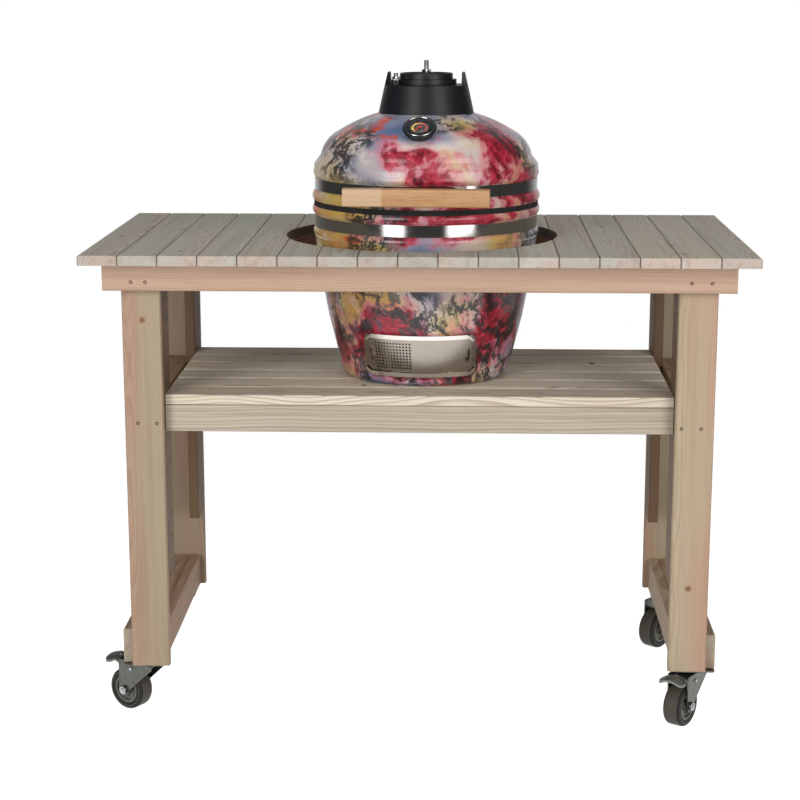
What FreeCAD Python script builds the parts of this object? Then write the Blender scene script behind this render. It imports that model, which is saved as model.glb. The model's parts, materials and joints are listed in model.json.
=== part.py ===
import FreeCAD
import Part
import math
import os
from FreeCAD import Vector

# Kamado grill table: a wheeled softwood table with a ceramic charcoal grill standing on its
# shelf and rising through a round hole in the top. Millimetres, +Z up, -Y is the front.
# The origin is on the floor under the middle of the table.

os.makedirs("parts", exist_ok=True)

# Table top
TOP_LENGTH = 1200.0
TOP_DEPTH = 650.0
TABLE_HEIGHT = 890.0
PLANK_COUNT = 17
PLANK_GAP = 0.6
PLANK_THICKNESS = 18.0
PLANK_EASE = 2.5
HOLE_CLEARANCE = 42.5

# Wooden frame
BOARD_THICKNESS = 20.0
BOARD_EASE = 3.0
TOP_END_OVERHANG = 65.0
TOP_EDGE_OVERHANG = 62.0
APRON_OVERRUN = 30.0
APRON_HEIGHT = 51.0
LEG_WIDTH = 70.0
LEG_SIDE_DEPTH = 75.0
LEG_SIDE_CLEARANCE = 100.0
TOP_RAIL_WIDTH = 45.0
TOP_RAIL_HEIGHT = 45.0

# Shelf
SHELF_DROP = 267.0
SHELF_BOARD_COUNT = 6
SHELF_BOARD_WIDTH = 70.0
SHELF_BOARD_GAP = 10.0
SHELF_END_CLEARANCE = 1.0
SHELF_RAIL_HEIGHT = 50.0
SHELF_BEARER_WIDTH = 45.0
SHELF_CLEAT_WIDTH = 20.0
SHELF_CLEAT_SPACING = 230.0

# Lower rails, each side built up from three boards on edge
LOWER_RAIL_HEIGHT = 65.0
LOWER_RAIL_INSET = 11.0
LOWER_RAIL_OUTER_WIDTH = 38.0

# Casters
CASTER_HEIGHT = 108.0
CASTER_PLATE_LENGTH = 86.0
CASTER_PLATE_WIDTH = 76.0
CASTER_PLATE_THICKNESS = 3.0
CASTER_HOLE_SPACING = 58.0
CASTER_HOLE_RADIUS = 3.5
CASTER_FRONT_INSET = 47.0
CASTER_TRAIL = 42.0
WHEEL_DIAMETER = 80.0
WHEEL_WIDTH = 34.0
TYRE_ROUNDING = 6.0
HUB_RADIUS = 27.0
HUB_WEB_WIDTH = 20.0
HUB_BOSS_RADIUS = 10.0
AXLE_RADIUS = 5.0
FORK_SHEET = 2.5
FORK_SIDE_CLEARANCE = 2.0
FORK_EYE_RADIUS = 12.0
FORK_BACK = 27.0
FORK_FRONT = 36.0
FORK_HEEL = 7.0
KING_PIN_RADIUS = 6.0
RACE_RADIUS = 25.0
RACE_HEIGHT = 4.0
PEDAL_REACH = 89.0
PEDAL_SHEET = 3.5
PEDAL_PIVOT_X = 24.0
PEDAL_PIVOT_DROP = 22.0
PEDAL_PIN_RADIUS = 3.0
PEDAL_ARM_HEIGHT = 10.0
PEDAL_WAIST_GAP = 4.0
PEDAL_SHOE_LIFT = 3.0
PEDAL_HOOD_LENGTH = 26.0
PEDAL_HOOD_WIDTH = 52.0
PEDAL_HOOD_RISE = 13.0
PEDAL_HOOD_CURVE = 42.0
PEDAL_HOOD_CORNER = 12.0
PEDAL_NECK_DROP = 7.0
PEDAL_SLOT_LENGTH = 6.0
PEDAL_SLOT_WIDTH = 14.0
RUNNING_FIT = 0.05
BODY_GAP = 0.4

# Yaw of each caster at rest: the direction in which its wheel trails, from +X
CASTER_YAWS = {"front_left": 148.0, "front_right": 236.0, "rear_left": 200.0, "rear_right": 230.0}
BRAKED_CASTERS = ("front_left", "front_right")

# Ceramic grill, heights above its own foot. It stands a little off the middle of the hole
GRILL_TURN = -3.0
GRILL_OFFSET = 8.0
WALL = 18.0
FOOT_CORNER = 15.0
DRAFT_ZONE_LOW = 12.0
DRAFT_ZONE_HIGH = 112.0
DRAFT_ZONE_FLARE = 25.0
BELLY_HEIGHT = 190.0
BELLY_FLARE = 14.0
BELLY_BELOW_SEAT = 10.0
BASE_BAND_LOW = 286.0
BAND_HEIGHT = 21.5
BAND_SHEET = 1.6
BAND_LUG_REACH = 12.0
BAND_LUG_ANGLE = 60.0
BAND_BOLT_RADIUS = 2.5
BAND_BOLT_LENGTH = 14.0
BASE_TOP = 325.0
BAND_SEAT_RADIUS = 210.0
RIM_PROUD = 6.0
GASKET_THICKNESS = 5.0
GASKET_GAP = 0.6
GASKET_WIDTH = 17.0
LID_BAND_LOW = 356.0
SHOULDER_TOP = 403.0
SHOULDER_PROUD = 3.0
SHOULDER_STEP = 13.0
DOME_FOOT_HEIGHT = 419.0
DOME_HAUNCH_HEIGHT = 463.0
DOME_HAUNCH_INSET = 34.0
DOME_SAG = 4.5
DOME_TOP = 503.0
CHIMNEY_RADIUS = 52.0
LID_WALL = 17.0
LID_INNER_STEP = 20.0

# Vent cap
COLLAR_LOW = 497.0
COLLAR_LOW_RADIUS = 90.0
COLLAR_TOP = 549.0
COLLAR_TOP_RADIUS = 78.5
COLLAR_WALL = 5.0
COLLAR_OPENING_RADIUS = 46.0
POST_TOP = 573.0
POST_ANGLE = 9.0
POST_PLACES = (-90.0, 90.0)
VENT_DISC_RADIUS = 57.0
VENT_DISC_THICKNESS = 10.0
VENT_ROTOR_RADIUS = 50.0
VENT_ROTOR_THICKNESS = 11.0
VENT_PETALS = 5
VENT_PETAL_RADIUS = 9.5
VENT_PETAL_CIRCLE = 29.0
VENT_PIVOT_DISTANCE = 62.5
VENT_PIVOT_ANGLE = 208.5
VENT_PIVOT_RADIUS = 4.0
VENT_EAR_RADIUS = 9.5
STUD_RADIUS = 4.2
STUD_TOP = 594.0
NUT_RADIUS = 8.5
NUT_HEIGHT = 6.0

# Handle
HANDLE_LENGTH = 262.0
HANDLE_HEIGHT = 32.0
HANDLE_DEPTH = 26.0
HANDLE_CENTRE_HEIGHT = 362.0
HANDLE_STANDOFF = 22.0
HANDLE_BRACKET_SPACING = 150.0
HANDLE_BRACKET_WIDTH = 18.0
HANDLE_BRACKET_SHEET = 3.0
HANDLE_EASE = 4.0

# Rear hinge
HINGE_STANDOFF = 25.0
REAR_ANGLE = 180.0
HINGE_PIN_RADIUS = 4.0
HINGE_BASE_HALF_WIDTH = 43.0
HINGE_LID_HALF_WIDTH = 17.0
HINGE_SHEET = 3.0
HINGE_EYE_RADIUS = 10.0
SPRING_WIRE = 3.2
SPRING_RADIUS = 7.6
SPRING_TURNS = 4

# Thermometer on the lid
GAUGE_RADIUS = 31.0
GAUGE_HEIGHT = 471.0
GAUGE_DEPTH = 14.0
GAUGE_DIAL_RADIUS = 25.0
GAUGE_TILT = 34.0
GAUGE_SINK = 5.0
NEEDLE_LENGTH = 19.0
NEEDLE_WIDTH = 2.4
NEEDLE_ANGLE = 130.0
DIAL_DROP = 3.5
DIAL_SHEET = 1.2
SPINDLE_RADIUS = 0.9
GAUGE_STEM_RADIUS = 3.0
GAUGE_STEM_LENGTH = 60.0

# Draft door
DRAFT_FRAME_HALF_WIDTH = 104.0
DRAFT_FRAME_CORNER = 12.0
DRAFT_FRAME_ANGLE = 42.0
DRAFT_WINDOW_ANGLE = 28.5
DRAFT_FRAME_LOW = 20.0
DRAFT_FRAME_HIGH = 101.0
DRAFT_WINDOW_LOW = 30.0
DRAFT_WINDOW_HIGH = 91.0
DRAFT_SHEET = 1.2
DRAFT_LAYER_GAP = 0.6
DRAFT_RAIL_DEPTH = 8.0
DRAFT_RAIL_SETBACK = 14.0
DRAFT_EAR_REACH = 9.0
DRAFT_EAR_WIDTH = 5.0
DRAFT_EAR_DROP = 14.0
DRAFT_SHEET_SETBACK = 6.6
DRAFT_DOOR_FROM = -4.3
DRAFT_DOOR_TO = 38.0
DRAFT_SCREEN_FROM = -38.0
DRAFT_SCREEN_TO = -1.0
DRAFT_HOLE_COLUMNS = 13
DRAFT_HOLE_ROWS = 9
DRAFT_HOLE_RADIUS = 2.1
DRAFT_HOLE_PITCH = 5.9
DRAFT_PULL_ANGLE = 30.0
DRAFT_PULL_HEIGHT = 26.0
DRAFT_PULL_WIDTH = 8.0
DRAFT_PULL_RIM = 1.3
DRAFT_PULL_DEPTH = 3.0

# Inside the grill
FIREBOX_WALL = 16.0
FIREBOX_LOW_GAP = 25.0
FIREBOX_HIGH_GAP = 29.0
FIREBOX_TOP = 220.0
ASH_DOOR_WIDTH = 110.0
ASH_DOOR_HEIGHT = 46.0
FIRE_RING_TOP = 282.0
CHARCOAL_GRATE_HEIGHT = 78.0
GRATE_THICKNESS = 6.0
GRATE_BAR = 6.0
GRATE_SLOT = 11.0
GRATE_RIM = 7.0
GRATE_CLEARANCE = 2.0
COOKING_GRATE_SEAT = 3.0

# Heights and places that follow from the sizes above
TOP_UNDERSIDE = TABLE_HEIGHT - PLANK_THICKNESS
FRAME_WIDTH = TOP_LENGTH - 2 * TOP_END_OVERHANG
FRAME_DEPTH = TOP_DEPTH - 2 * TOP_EDGE_OVERHANG
APRON_LENGTH = FRAME_WIDTH + 2 * APRON_OVERRUN
RIM_RADIUS = BAND_SEAT_RADIUS + RIM_PROUD
HOLE_RADIUS = RIM_RADIUS + HOLE_CLEARANCE
FRAME_HALF_WIDTH = FRAME_WIDTH / 2
FRAME_HALF_DEPTH = FRAME_DEPTH / 2
LEG_INNER = FRAME_HALF_WIDTH - LEG_WIDTH
FRAME_INNER_DEPTH = FRAME_HALF_DEPTH - BOARD_THICKNESS
LEG_FOOT = CASTER_HEIGHT
LOWER_RAIL_TOP = LEG_FOOT + LOWER_RAIL_HEIGHT
SHELF_TOP = TABLE_HEIGHT - SHELF_DROP
SHELF_UNDERSIDE = SHELF_TOP - BOARD_THICKNESS
SHELF_DEPTH = SHELF_BOARD_COUNT * SHELF_BOARD_WIDTH + (SHELF_BOARD_COUNT - 1) * SHELF_BOARD_GAP
SHELF_HALF_LENGTH = LEG_INNER - SHELF_END_CLEARANCE
LOWER_RAIL_INNER = LEG_INNER + LOWER_RAIL_INSET
LOWER_RAIL_OUTER = LOWER_RAIL_INNER + 2 * BOARD_THICKNESS + LOWER_RAIL_OUTER_WIDTH
LID_FOOT = BASE_TOP + 2 * GASKET_THICKNESS + GASKET_GAP
HINGE_PIN_HEIGHT = BASE_TOP + GASKET_THICKNESS + GASKET_GAP / 2
BAND_RADIUS = BAND_SEAT_RADIUS + BAND_SHEET
BELLY_RADIUS = BAND_SEAT_RADIUS - BELLY_BELOW_SEAT
DRAFT_ZONE_HIGH_RADIUS = BELLY_RADIUS - BELLY_FLARE
DRAFT_ZONE_LOW_RADIUS = DRAFT_ZONE_HIGH_RADIUS - DRAFT_ZONE_FLARE
FOOT_RADIUS = DRAFT_ZONE_LOW_RADIUS - FOOT_CORNER
SHOULDER_RADIUS = BAND_SEAT_RADIUS + SHOULDER_PROUD
DOME_FOOT_RADIUS = SHOULDER_RADIUS - SHOULDER_STEP
DOME_HAUNCH_RADIUS = DOME_FOOT_RADIUS - DOME_HAUNCH_INSET
GAUGE_SETBACK = DOME_HAUNCH_RADIUS - GAUGE_SINK
HINGE_PIN_BACK = BAND_SEAT_RADIUS + HINGE_STANDOFF
FIREBOX_LOW_RADIUS = DRAFT_ZONE_LOW_RADIUS - FIREBOX_LOW_GAP
FIREBOX_HIGH_RADIUS = BAND_SEAT_RADIUS - WALL - FIREBOX_HIGH_GAP
COOKING_GRATE_RADIUS = FIREBOX_HIGH_RADIUS + COOKING_GRATE_SEAT


# General helpers

def box(x0, x1, y0, y1, z0, z1):
    return Part.makeBox(x1 - x0, y1 - y0, z1 - z0, Vector(x0, y0, z0))


def cylinder(radius, base, length, direction=Vector(0, 0, 1)):
    return Part.makeCylinder(radius, length, base, direction)


def long_edges(shape, direction, top_only=False):
    # Straight edges that run along the board, or only those of its upper face
    top = shape.BoundBox.ZMax
    found = []
    for edge in shape.Edges:
        run = edge.Vertexes[-1].Point - edge.Vertexes[0].Point
        along = run.Length > 0 and abs(run.normalize().dot(direction)) > 0.999
        if along and (not top_only or edge.BoundBox.ZMin > top - 0.01):
            found.append(edge)
    return found


def board(x0, x1, y0, y1, z0, z1, along, ease=BOARD_EASE, top_only=False):
    # A planed board whose long arrises are rounded over
    plain = box(x0, x1, y0, y1, z0, z1)
    return plain.makeFillet(ease, long_edges(plain, along, top_only))


def profile_face(start, steps):
    # A closed outline in the XZ plane: a step is a point, or a middle point and an end point
    edges = []
    here = Vector(start[0], 0, start[1])
    for step in list(steps) + [start]:
        if isinstance(step[0], tuple):
            middle = Vector(step[0][0], 0, step[0][1])
            there = Vector(step[1][0], 0, step[1][1])
            edges.append(Part.Arc(here, middle, there).toShape())
        else:
            there = Vector(step[0], 0, step[1])
            if (there - here).Length > 1e-6:
                edges.append(Part.LineSegment(here, there).toShape())
        here = there
    return Part.Face(Part.Wire(edges))


def turned(start, steps):
    # A solid of revolution about +Z
    return profile_face(start, steps).revolve(Vector(0, 0, 0), Vector(0, 0, 1), 360)


def front_sector(start, steps, from_angle, to_angle):
    # Part of a solid of revolution, its angles counted from the front (-Y) towards +X
    face = profile_face(start, steps)
    face.rotate(Vector(0, 0, 0), Vector(0, 0, 1), from_angle - 90)
    return face.revolve(Vector(0, 0, 0), Vector(0, 0, 1), to_angle - from_angle)


def slab(points, y0, y1):
    # A flat outline of XZ points, given a thickness along Y
    wire = Part.makePolygon([Vector(x, y0, z) for x, z in points + points[:1]])
    return Part.Face(wire).extrude(Vector(0, y1 - y0, 0))


def ring(inner, outer, z0, z1):
    return turned((inner, z0), [(outer, z0), (outer, z1), (inner, z1)])


def hexagon(radius, base, height):
    points = []
    for corner in range(7):
        angle = math.radians(60 * corner)
        points.append(base + Vector(radius * math.cos(angle), radius * math.sin(angle), 0))
    return Part.Face(Part.makePolygon(points)).extrude(Vector(0, 0, height))


def mirrored_x(shape):
    return shape.mirror(Vector(0, 0, 0), Vector(1, 0, 0))


def mirrored_y(shape):
    return shape.mirror(Vector(0, 0, 0), Vector(0, 1, 0))


def group(solids):
    return Part.makeCompound(solids)


def write(name, shape):
    shape.exportStep(os.path.join("parts", name + ".step"))


# Table top

def plank_edges(index):
    width = (TOP_LENGTH - (PLANK_COUNT - 1) * PLANK_GAP) / PLANK_COUNT
    left = -TOP_LENGTH / 2 + index * (width + PLANK_GAP)
    return left, left + width


def top_planks():
    # The planks run front to back; those that meet the hole are cut round it
    hole = cylinder(HOLE_RADIUS, Vector(0, 0, TOP_UNDERSIDE - 1), PLANK_THICKNESS + 2)
    full = []
    notched = []
    short_front = []
    short_rear = []
    for index in range(PLANK_COUNT):
        left, right = plank_edges(index)
        plank = board(left, right, -TOP_DEPTH / 2, TOP_DEPTH / 2, TOP_UNDERSIDE, TABLE_HEIGHT,
                      Vector(0, 1, 0), PLANK_EASE, True)
        if min(abs(left), abs(right)) >= HOLE_RADIUS and left * right > 0:
            full.append(plank)
            continue
        pieces = sorted(plank.cut(hole).Solids, key=lambda piece: piece.CenterOfMass.y)
        if len(pieces) == 1:
            notched.append(pieces[0])
        else:
            short_front.append(pieces[0])
            short_rear.append(pieces[-1])
    write("top_planks", group(full))
    write("notched_planks", group(notched))
    write("short_planks_front", group(short_front))
    write("short_planks_rear", group(short_rear))


def top_frame():
    half = APRON_LENGTH / 2
    apron = board(-half, half, -FRAME_HALF_DEPTH - BOARD_THICKNESS, -FRAME_HALF_DEPTH,
                  TOP_UNDERSIDE - APRON_HEIGHT, TOP_UNDERSIDE, Vector(1, 0, 0))
    write("apron_front", apron)
    write("apron_rear", mirrored_y(apron))
    inner = LEG_INNER + BOARD_THICKNESS
    rail = box(inner, inner + TOP_RAIL_WIDTH, -FRAME_INNER_DEPTH, FRAME_INNER_DEPTH,
               TOP_UNDERSIDE - TOP_RAIL_HEIGHT, TOP_UNDERSIDE)
    write("top_side_rails", group([rail, mirrored_x(rail)]))


# Legs and shelf

def legs():
    face = board(LEG_INNER, FRAME_HALF_WIDTH, -FRAME_HALF_DEPTH, -FRAME_INNER_DEPTH,
                 LEG_FOOT, TOP_UNDERSIDE, Vector(0, 0, 1))
    side = board(LEG_INNER, LEG_INNER + BOARD_THICKNESS, -FRAME_INNER_DEPTH,
                 -FRAME_INNER_DEPTH + LEG_SIDE_DEPTH, LOWER_RAIL_TOP + LEG_SIDE_CLEARANCE,
                 TOP_UNDERSIDE, Vector(0, 0, 1))
    write("leg_front_right", face)
    write("leg_front_left", mirrored_x(face))
    write("leg_rear_right", mirrored_y(face))
    write("leg_rear_left", mirrored_x(mirrored_y(face)))
    pair = [side, mirrored_x(side)]
    write("leg_side_boards", group(pair + [mirrored_y(shape) for shape in pair]))


def shelf():
    boards = []
    for index in range(SHELF_BOARD_COUNT):
        front = -SHELF_DEPTH / 2 + index * (SHELF_BOARD_WIDTH + SHELF_BOARD_GAP)
        boards.append(board(-SHELF_HALF_LENGTH, SHELF_HALF_LENGTH, front, front + SHELF_BOARD_WIDTH,
                            SHELF_UNDERSIDE, SHELF_TOP, Vector(1, 0, 0)))
    write("shelf_boards", group(boards))
    low = SHELF_UNDERSIDE - SHELF_RAIL_HEIGHT
    rail = board(-SHELF_HALF_LENGTH, SHELF_HALF_LENGTH, -SHELF_DEPTH / 2,
                 -SHELF_DEPTH / 2 + BOARD_THICKNESS, low, SHELF_UNDERSIDE, Vector(1, 0, 0))
    write("shelf_rails", group([rail, mirrored_y(rail)]))
    inner = LEG_INNER + BOARD_THICKNESS
    bearer = box(inner, inner + SHELF_BEARER_WIDTH, -FRAME_INNER_DEPTH, FRAME_INNER_DEPTH,
                 low, SHELF_UNDERSIDE)
    write("shelf_bearers", group([bearer, mirrored_x(bearer)]))
    reach = SHELF_DEPTH / 2 - BOARD_THICKNESS
    cleats = []
    for right in (SHELF_HALF_LENGTH, (SHELF_CLEAT_SPACING + SHELF_CLEAT_WIDTH) / 2):
        cleat = box(right - SHELF_CLEAT_WIDTH, right, -reach, reach, low, SHELF_UNDERSIDE)
        cleats += [cleat, mirrored_x(cleat)]
    write("shelf_cleats", group(cleats))


def lower_rails():
    rails = []
    left = LOWER_RAIL_INNER
    for width in (BOARD_THICKNESS, BOARD_THICKNESS, LOWER_RAIL_OUTER_WIDTH):
        rails.append(board(left, left + width, -FRAME_INNER_DEPTH, FRAME_INNER_DEPTH,
                           LEG_FOOT, LOWER_RAIL_TOP, Vector(0, 1, 0)))
        left += width
    write("lower_rails_right", group(rails))
    write("lower_rails_left", group([mirrored_x(rail) for rail in rails]))


# Casters, drawn with the swivel axis on Z and the wheel trailing towards +X

WHEEL_RADIUS = WHEEL_DIAMETER / 2
PLATE_UNDERSIDE = CASTER_HEIGHT - CASTER_PLATE_THICKNESS
FORK_TOP = PLATE_UNDERSIDE - RACE_HEIGHT - BODY_GAP
FORK_INNER = WHEEL_WIDTH / 2 + FORK_SIDE_CLEARANCE
FORK_OUTER = FORK_INNER + FORK_SHEET
CHEEK_TOP = FORK_TOP - RACE_HEIGHT + FORK_SHEET
PEDAL_PIVOT_HEIGHT = CASTER_HEIGHT - PEDAL_PIVOT_DROP


def caster_plate():
    half_length = CASTER_PLATE_LENGTH / 2
    half_width = CASTER_PLATE_WIDTH / 2
    plate = board(-half_width, half_width, -half_length, half_length, PLATE_UNDERSIDE,
                  CASTER_HEIGHT, Vector(0, 0, 1), BOARD_EASE * 2)
    for x in (-CASTER_HOLE_SPACING / 2, CASTER_HOLE_SPACING / 2):
        for y in (-CASTER_HOLE_SPACING / 2, CASTER_HOLE_SPACING / 2):
            plate = plate.cut(cylinder(CASTER_HOLE_RADIUS, Vector(x, y, PLATE_UNDERSIDE - 1),
                                       CASTER_PLATE_THICKNESS + 2))
    race = cylinder(RACE_RADIUS, Vector(0, 0, PLATE_UNDERSIDE - RACE_HEIGHT), RACE_HEIGHT)
    pin_low = CHEEK_TOP - FORK_SHEET - BODY_GAP - RACE_HEIGHT
    pin = cylinder(KING_PIN_RADIUS, Vector(0, 0, pin_low), PLATE_UNDERSIDE - pin_low)
    head = cylinder(KING_PIN_RADIUS + 3, Vector(0, 0, pin_low), RACE_HEIGHT)
    return plate.fuse([race, pin, head]).removeSplitter()


def caster_fork(braked):
    cheek_outline = [(-FORK_BACK, CHEEK_TOP), (CASTER_TRAIL + FORK_EYE_RADIUS, CHEEK_TOP),
                     (CASTER_TRAIL + FORK_EYE_RADIUS, WHEEL_RADIUS),
                     (CASTER_TRAIL - FORK_EYE_RADIUS, WHEEL_RADIUS),
                     (-FORK_BACK, CHEEK_TOP - FORK_HEEL)]
    eye_centre = Vector(CASTER_TRAIL, FORK_INNER, WHEEL_RADIUS)
    cheek = slab(cheek_outline, FORK_INNER, FORK_OUTER)
    cheek = cheek.fuse(cylinder(FORK_EYE_RADIUS, eye_centre, FORK_SHEET, Vector(0, 1, 0)))
    crown = box(-FORK_BACK, FORK_FRONT, -FORK_OUTER, FORK_OUTER, CHEEK_TOP - FORK_SHEET, CHEEK_TOP)
    dish = turned((0, CHEEK_TOP - FORK_SHEET), [(RACE_RADIUS + 2, CHEEK_TOP - FORK_SHEET),
                                                (RACE_RADIUS + 2, CHEEK_TOP),
                                                (RACE_RADIUS, FORK_TOP), (0, FORK_TOP)])
    fork = crown.fuse([dish, cheek, mirrored_y(cheek)])
    bore_low = CHEEK_TOP - 2 * FORK_SHEET
    bore = cylinder(KING_PIN_RADIUS + RUNNING_FIT, Vector(0, 0, bore_low), FORK_TOP - bore_low + 1)
    axle_hole = cylinder(AXLE_RADIUS, Vector(CASTER_TRAIL, -FORK_OUTER - 1, WHEEL_RADIUS),
                         2 * FORK_OUTER + 2, Vector(0, 1, 0))
    fork = fork.cut(bore.fuse(axle_hole))
    axle = cylinder(AXLE_RADIUS, Vector(CASTER_TRAIL, -FORK_OUTER, WHEEL_RADIUS),
                    2 * FORK_OUTER + 2, Vector(0, 1, 0))
    head = hexagon(AXLE_RADIUS + 3.5, Vector(0, 0, 0), AXLE_RADIUS)
    head.rotate(Vector(0, 0, 0), Vector(1, 0, 0), 90)
    nut = head.copy()
    head.translate(Vector(CASTER_TRAIL, -FORK_OUTER, WHEEL_RADIUS))
    nut.translate(Vector(CASTER_TRAIL, FORK_OUTER + AXLE_RADIUS, WHEEL_RADIUS))
    bolt = axle.fuse([head, nut])
    solids = [fork.removeSplitter(), bolt.removeSplitter()]
    if braked:
        pin = cylinder(PEDAL_PIN_RADIUS, Vector(PEDAL_PIVOT_X, -FORK_OUTER, PEDAL_PIVOT_HEIGHT),
                       2 * FORK_OUTER, Vector(0, 1, 0))
        solids[0] = solids[0].cut(pin)
        solids.append(pin)
    return group(solids)


def caster_hub():
    bore = AXLE_RADIUS + RUNNING_FIT
    half = WHEEL_WIDTH / 2
    web = HUB_WEB_WIDTH / 2
    rim = HUB_RADIUS - 4
    hub = turned((bore, -half - 1), [(HUB_BOSS_RADIUS, -half - 1), (HUB_BOSS_RADIUS + 1.5, -web),
                                     (rim, -web), (rim, -half + 1), (HUB_RADIUS, -half + 1),
                                     (HUB_RADIUS, half - 1), (rim, half - 1), (rim, web),
                                     (HUB_BOSS_RADIUS + 1.5, web), (HUB_BOSS_RADIUS, half + 1),
                                     (bore, half + 1)])
    crest = (HUB_BOSS_RADIUS + rim) / 2
    bead = ring(crest - 1, crest + 1, -web - 1.5, web + 1.5)
    hub = hub.fuse(bead)
    return stood_on_axle(hub)


def caster_tyre():
    half = WHEEL_WIDTH / 2
    flat = WHEEL_RADIUS - TYRE_ROUNDING
    corner = WHEEL_RADIUS - TYRE_ROUNDING * (1 - math.sqrt(0.5))
    bulge = half - TYRE_ROUNDING * (1 - math.sqrt(0.5))
    tyre = turned((HUB_RADIUS, -half), [(flat, -half),
                                        ((corner, -bulge), (WHEEL_RADIUS, -half + TYRE_ROUNDING)),
                                        (WHEEL_RADIUS, half - TYRE_ROUNDING),
                                        ((corner, bulge), (flat, half)), (HUB_RADIUS, half)])
    return stood_on_axle(tyre)


def stood_on_axle(wheel):
    wheel.rotate(Vector(0, 0, 0), Vector(1, 0, 0), 90)
    wheel.translate(Vector(CASTER_TRAIL, 0, WHEEL_RADIUS))
    return wheel


def brake_pedal():
    # A pressed-steel pedal: its arm carries a shoe over the tyre, a sloping neck leads to an
    # arched hood for the foot
    low = PEDAL_PIVOT_HEIGHT - PEDAL_ARM_HEIGHT / 2
    top = PEDAL_PIVOT_HEIGHT + PEDAL_ARM_HEIGHT / 2
    waist = CASTER_TRAIL + FORK_EYE_RADIUS + PEDAL_WAIST_GAP
    shoe = WHEEL_DIAMETER + PEDAL_SHOE_LIFT
    crest = top + PEDAL_HOOD_RISE
    neck_top = crest - PEDAL_NECK_DROP
    arm = profile_face((PEDAL_PIVOT_X - 8, low), [(PEDAL_PIVOT_X + 8, low), (CASTER_TRAIL - 3, shoe),
                                                  (CASTER_TRAIL + 6, shoe),
                                                  (waist + 2, neck_top - PEDAL_SHEET),
                                                  (waist + 2, neck_top), (waist - 4, neck_top),
                                                  (waist - 14, top), (PEDAL_PIVOT_X - 8, top)])
    arm = widened(arm, FORK_INNER - 1.5)
    # The neck and the hood are one sheet, curved both ways
    centre = Vector(waist + PEDAL_HOOD_LENGTH / 2, 0, crest - PEDAL_HOOD_CURVE)
    sheet = Part.makeSphere(PEDAL_HOOD_CURVE, centre)
    sheet = sheet.cut(Part.makeSphere(PEDAL_HOOD_CURVE - PEDAL_SHEET, centre))
    half_width = PEDAL_HOOD_WIDTH / 2
    hood = board(PEDAL_REACH - PEDAL_HOOD_LENGTH, PEDAL_REACH, -half_width, half_width, low - 1,
                 CASTER_HEIGHT, Vector(0, 0, 1), PEDAL_HOOD_CORNER)
    neck = box(waist - 2, PEDAL_REACH - PEDAL_HOOD_CORNER, 1 - FORK_OUTER, FORK_OUTER - 1, low - 1,
               CASTER_HEIGHT)
    slot = box(waist + 4, waist + 4 + PEDAL_SLOT_LENGTH, -PEDAL_SLOT_WIDTH / 2, PEDAL_SLOT_WIDTH / 2,
               low - 1, CASTER_HEIGHT)
    paddle = sheet.common(hood.fuse(neck)).cut(slot)
    hole = cylinder(PEDAL_PIN_RADIUS + RUNNING_FIT,
                    Vector(PEDAL_PIVOT_X, -FORK_OUTER, PEDAL_PIVOT_HEIGHT), 2 * FORK_OUTER, Vector(0, 1, 0))
    return arm.fuse(paddle).removeSplitter().cut(hole)


def widened(face, half_width):
    solid = face.extrude(Vector(0, 2 * half_width, 0))
    solid.translate(Vector(0, -half_width, 0))
    return solid


def caster_places():
    x = (LOWER_RAIL_INNER + LOWER_RAIL_OUTER) / 2
    y = FRAME_HALF_DEPTH - CASTER_FRONT_INSET
    return {"front_left": Vector(-x, -y, 0), "front_right": Vector(x, -y, 0),
            "rear_left": Vector(-x, y, 0), "rear_right": Vector(x, y, 0)}


def casters():
    plates = []
    for corner, place in caster_places().items():
        plate = caster_plate()
        plate.translate(place)
        plates.append(plate)
        braked = corner in BRAKED_CASTERS
        pieces = {"caster_fork_": caster_fork(braked), "caster_hub_": caster_hub(),
                  "caster_tyre_": caster_tyre()}
        if braked:
            pieces["brake_pedal_"] = brake_pedal()
        for prefix, shape in pieces.items():
            shape.rotate(Vector(0, 0, 0), Vector(0, 0, 1), CASTER_YAWS[corner])
            shape.translate(place)
            write(prefix + corner, shape)
    write("caster_plates", group(plates))


# Grill: every piece is drawn on its own foot and then stood on the shelf

def write_grill(name, shape):
    placed = shape.copy()
    placed.rotate(Vector(0, 0, 0), Vector(0, 0, 1), GRILL_TURN)
    placed.translate(Vector(GRILL_OFFSET, 0, SHELF_TOP + BODY_GAP))
    write(name, placed)


def draft_radius(height):
    # The lower body is a plain cone where the draft door slides round it
    slope = (DRAFT_ZONE_HIGH_RADIUS - DRAFT_ZONE_LOW_RADIUS) / (DRAFT_ZONE_HIGH - DRAFT_ZONE_LOW)
    return DRAFT_ZONE_LOW_RADIUS + slope * (height - DRAFT_ZONE_LOW)


def draft_layer(inner, outer, low, high, from_angle, to_angle):
    # A sheet that follows the cone, its faces standing off it by the two given distances
    corners = [(draft_radius(low) + inner, low), (draft_radius(low) + outer, low),
               (draft_radius(high) + outer, high), (draft_radius(high) + inner, high)]
    return front_sector(corners[0], corners[1:], from_angle, to_angle)


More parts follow.
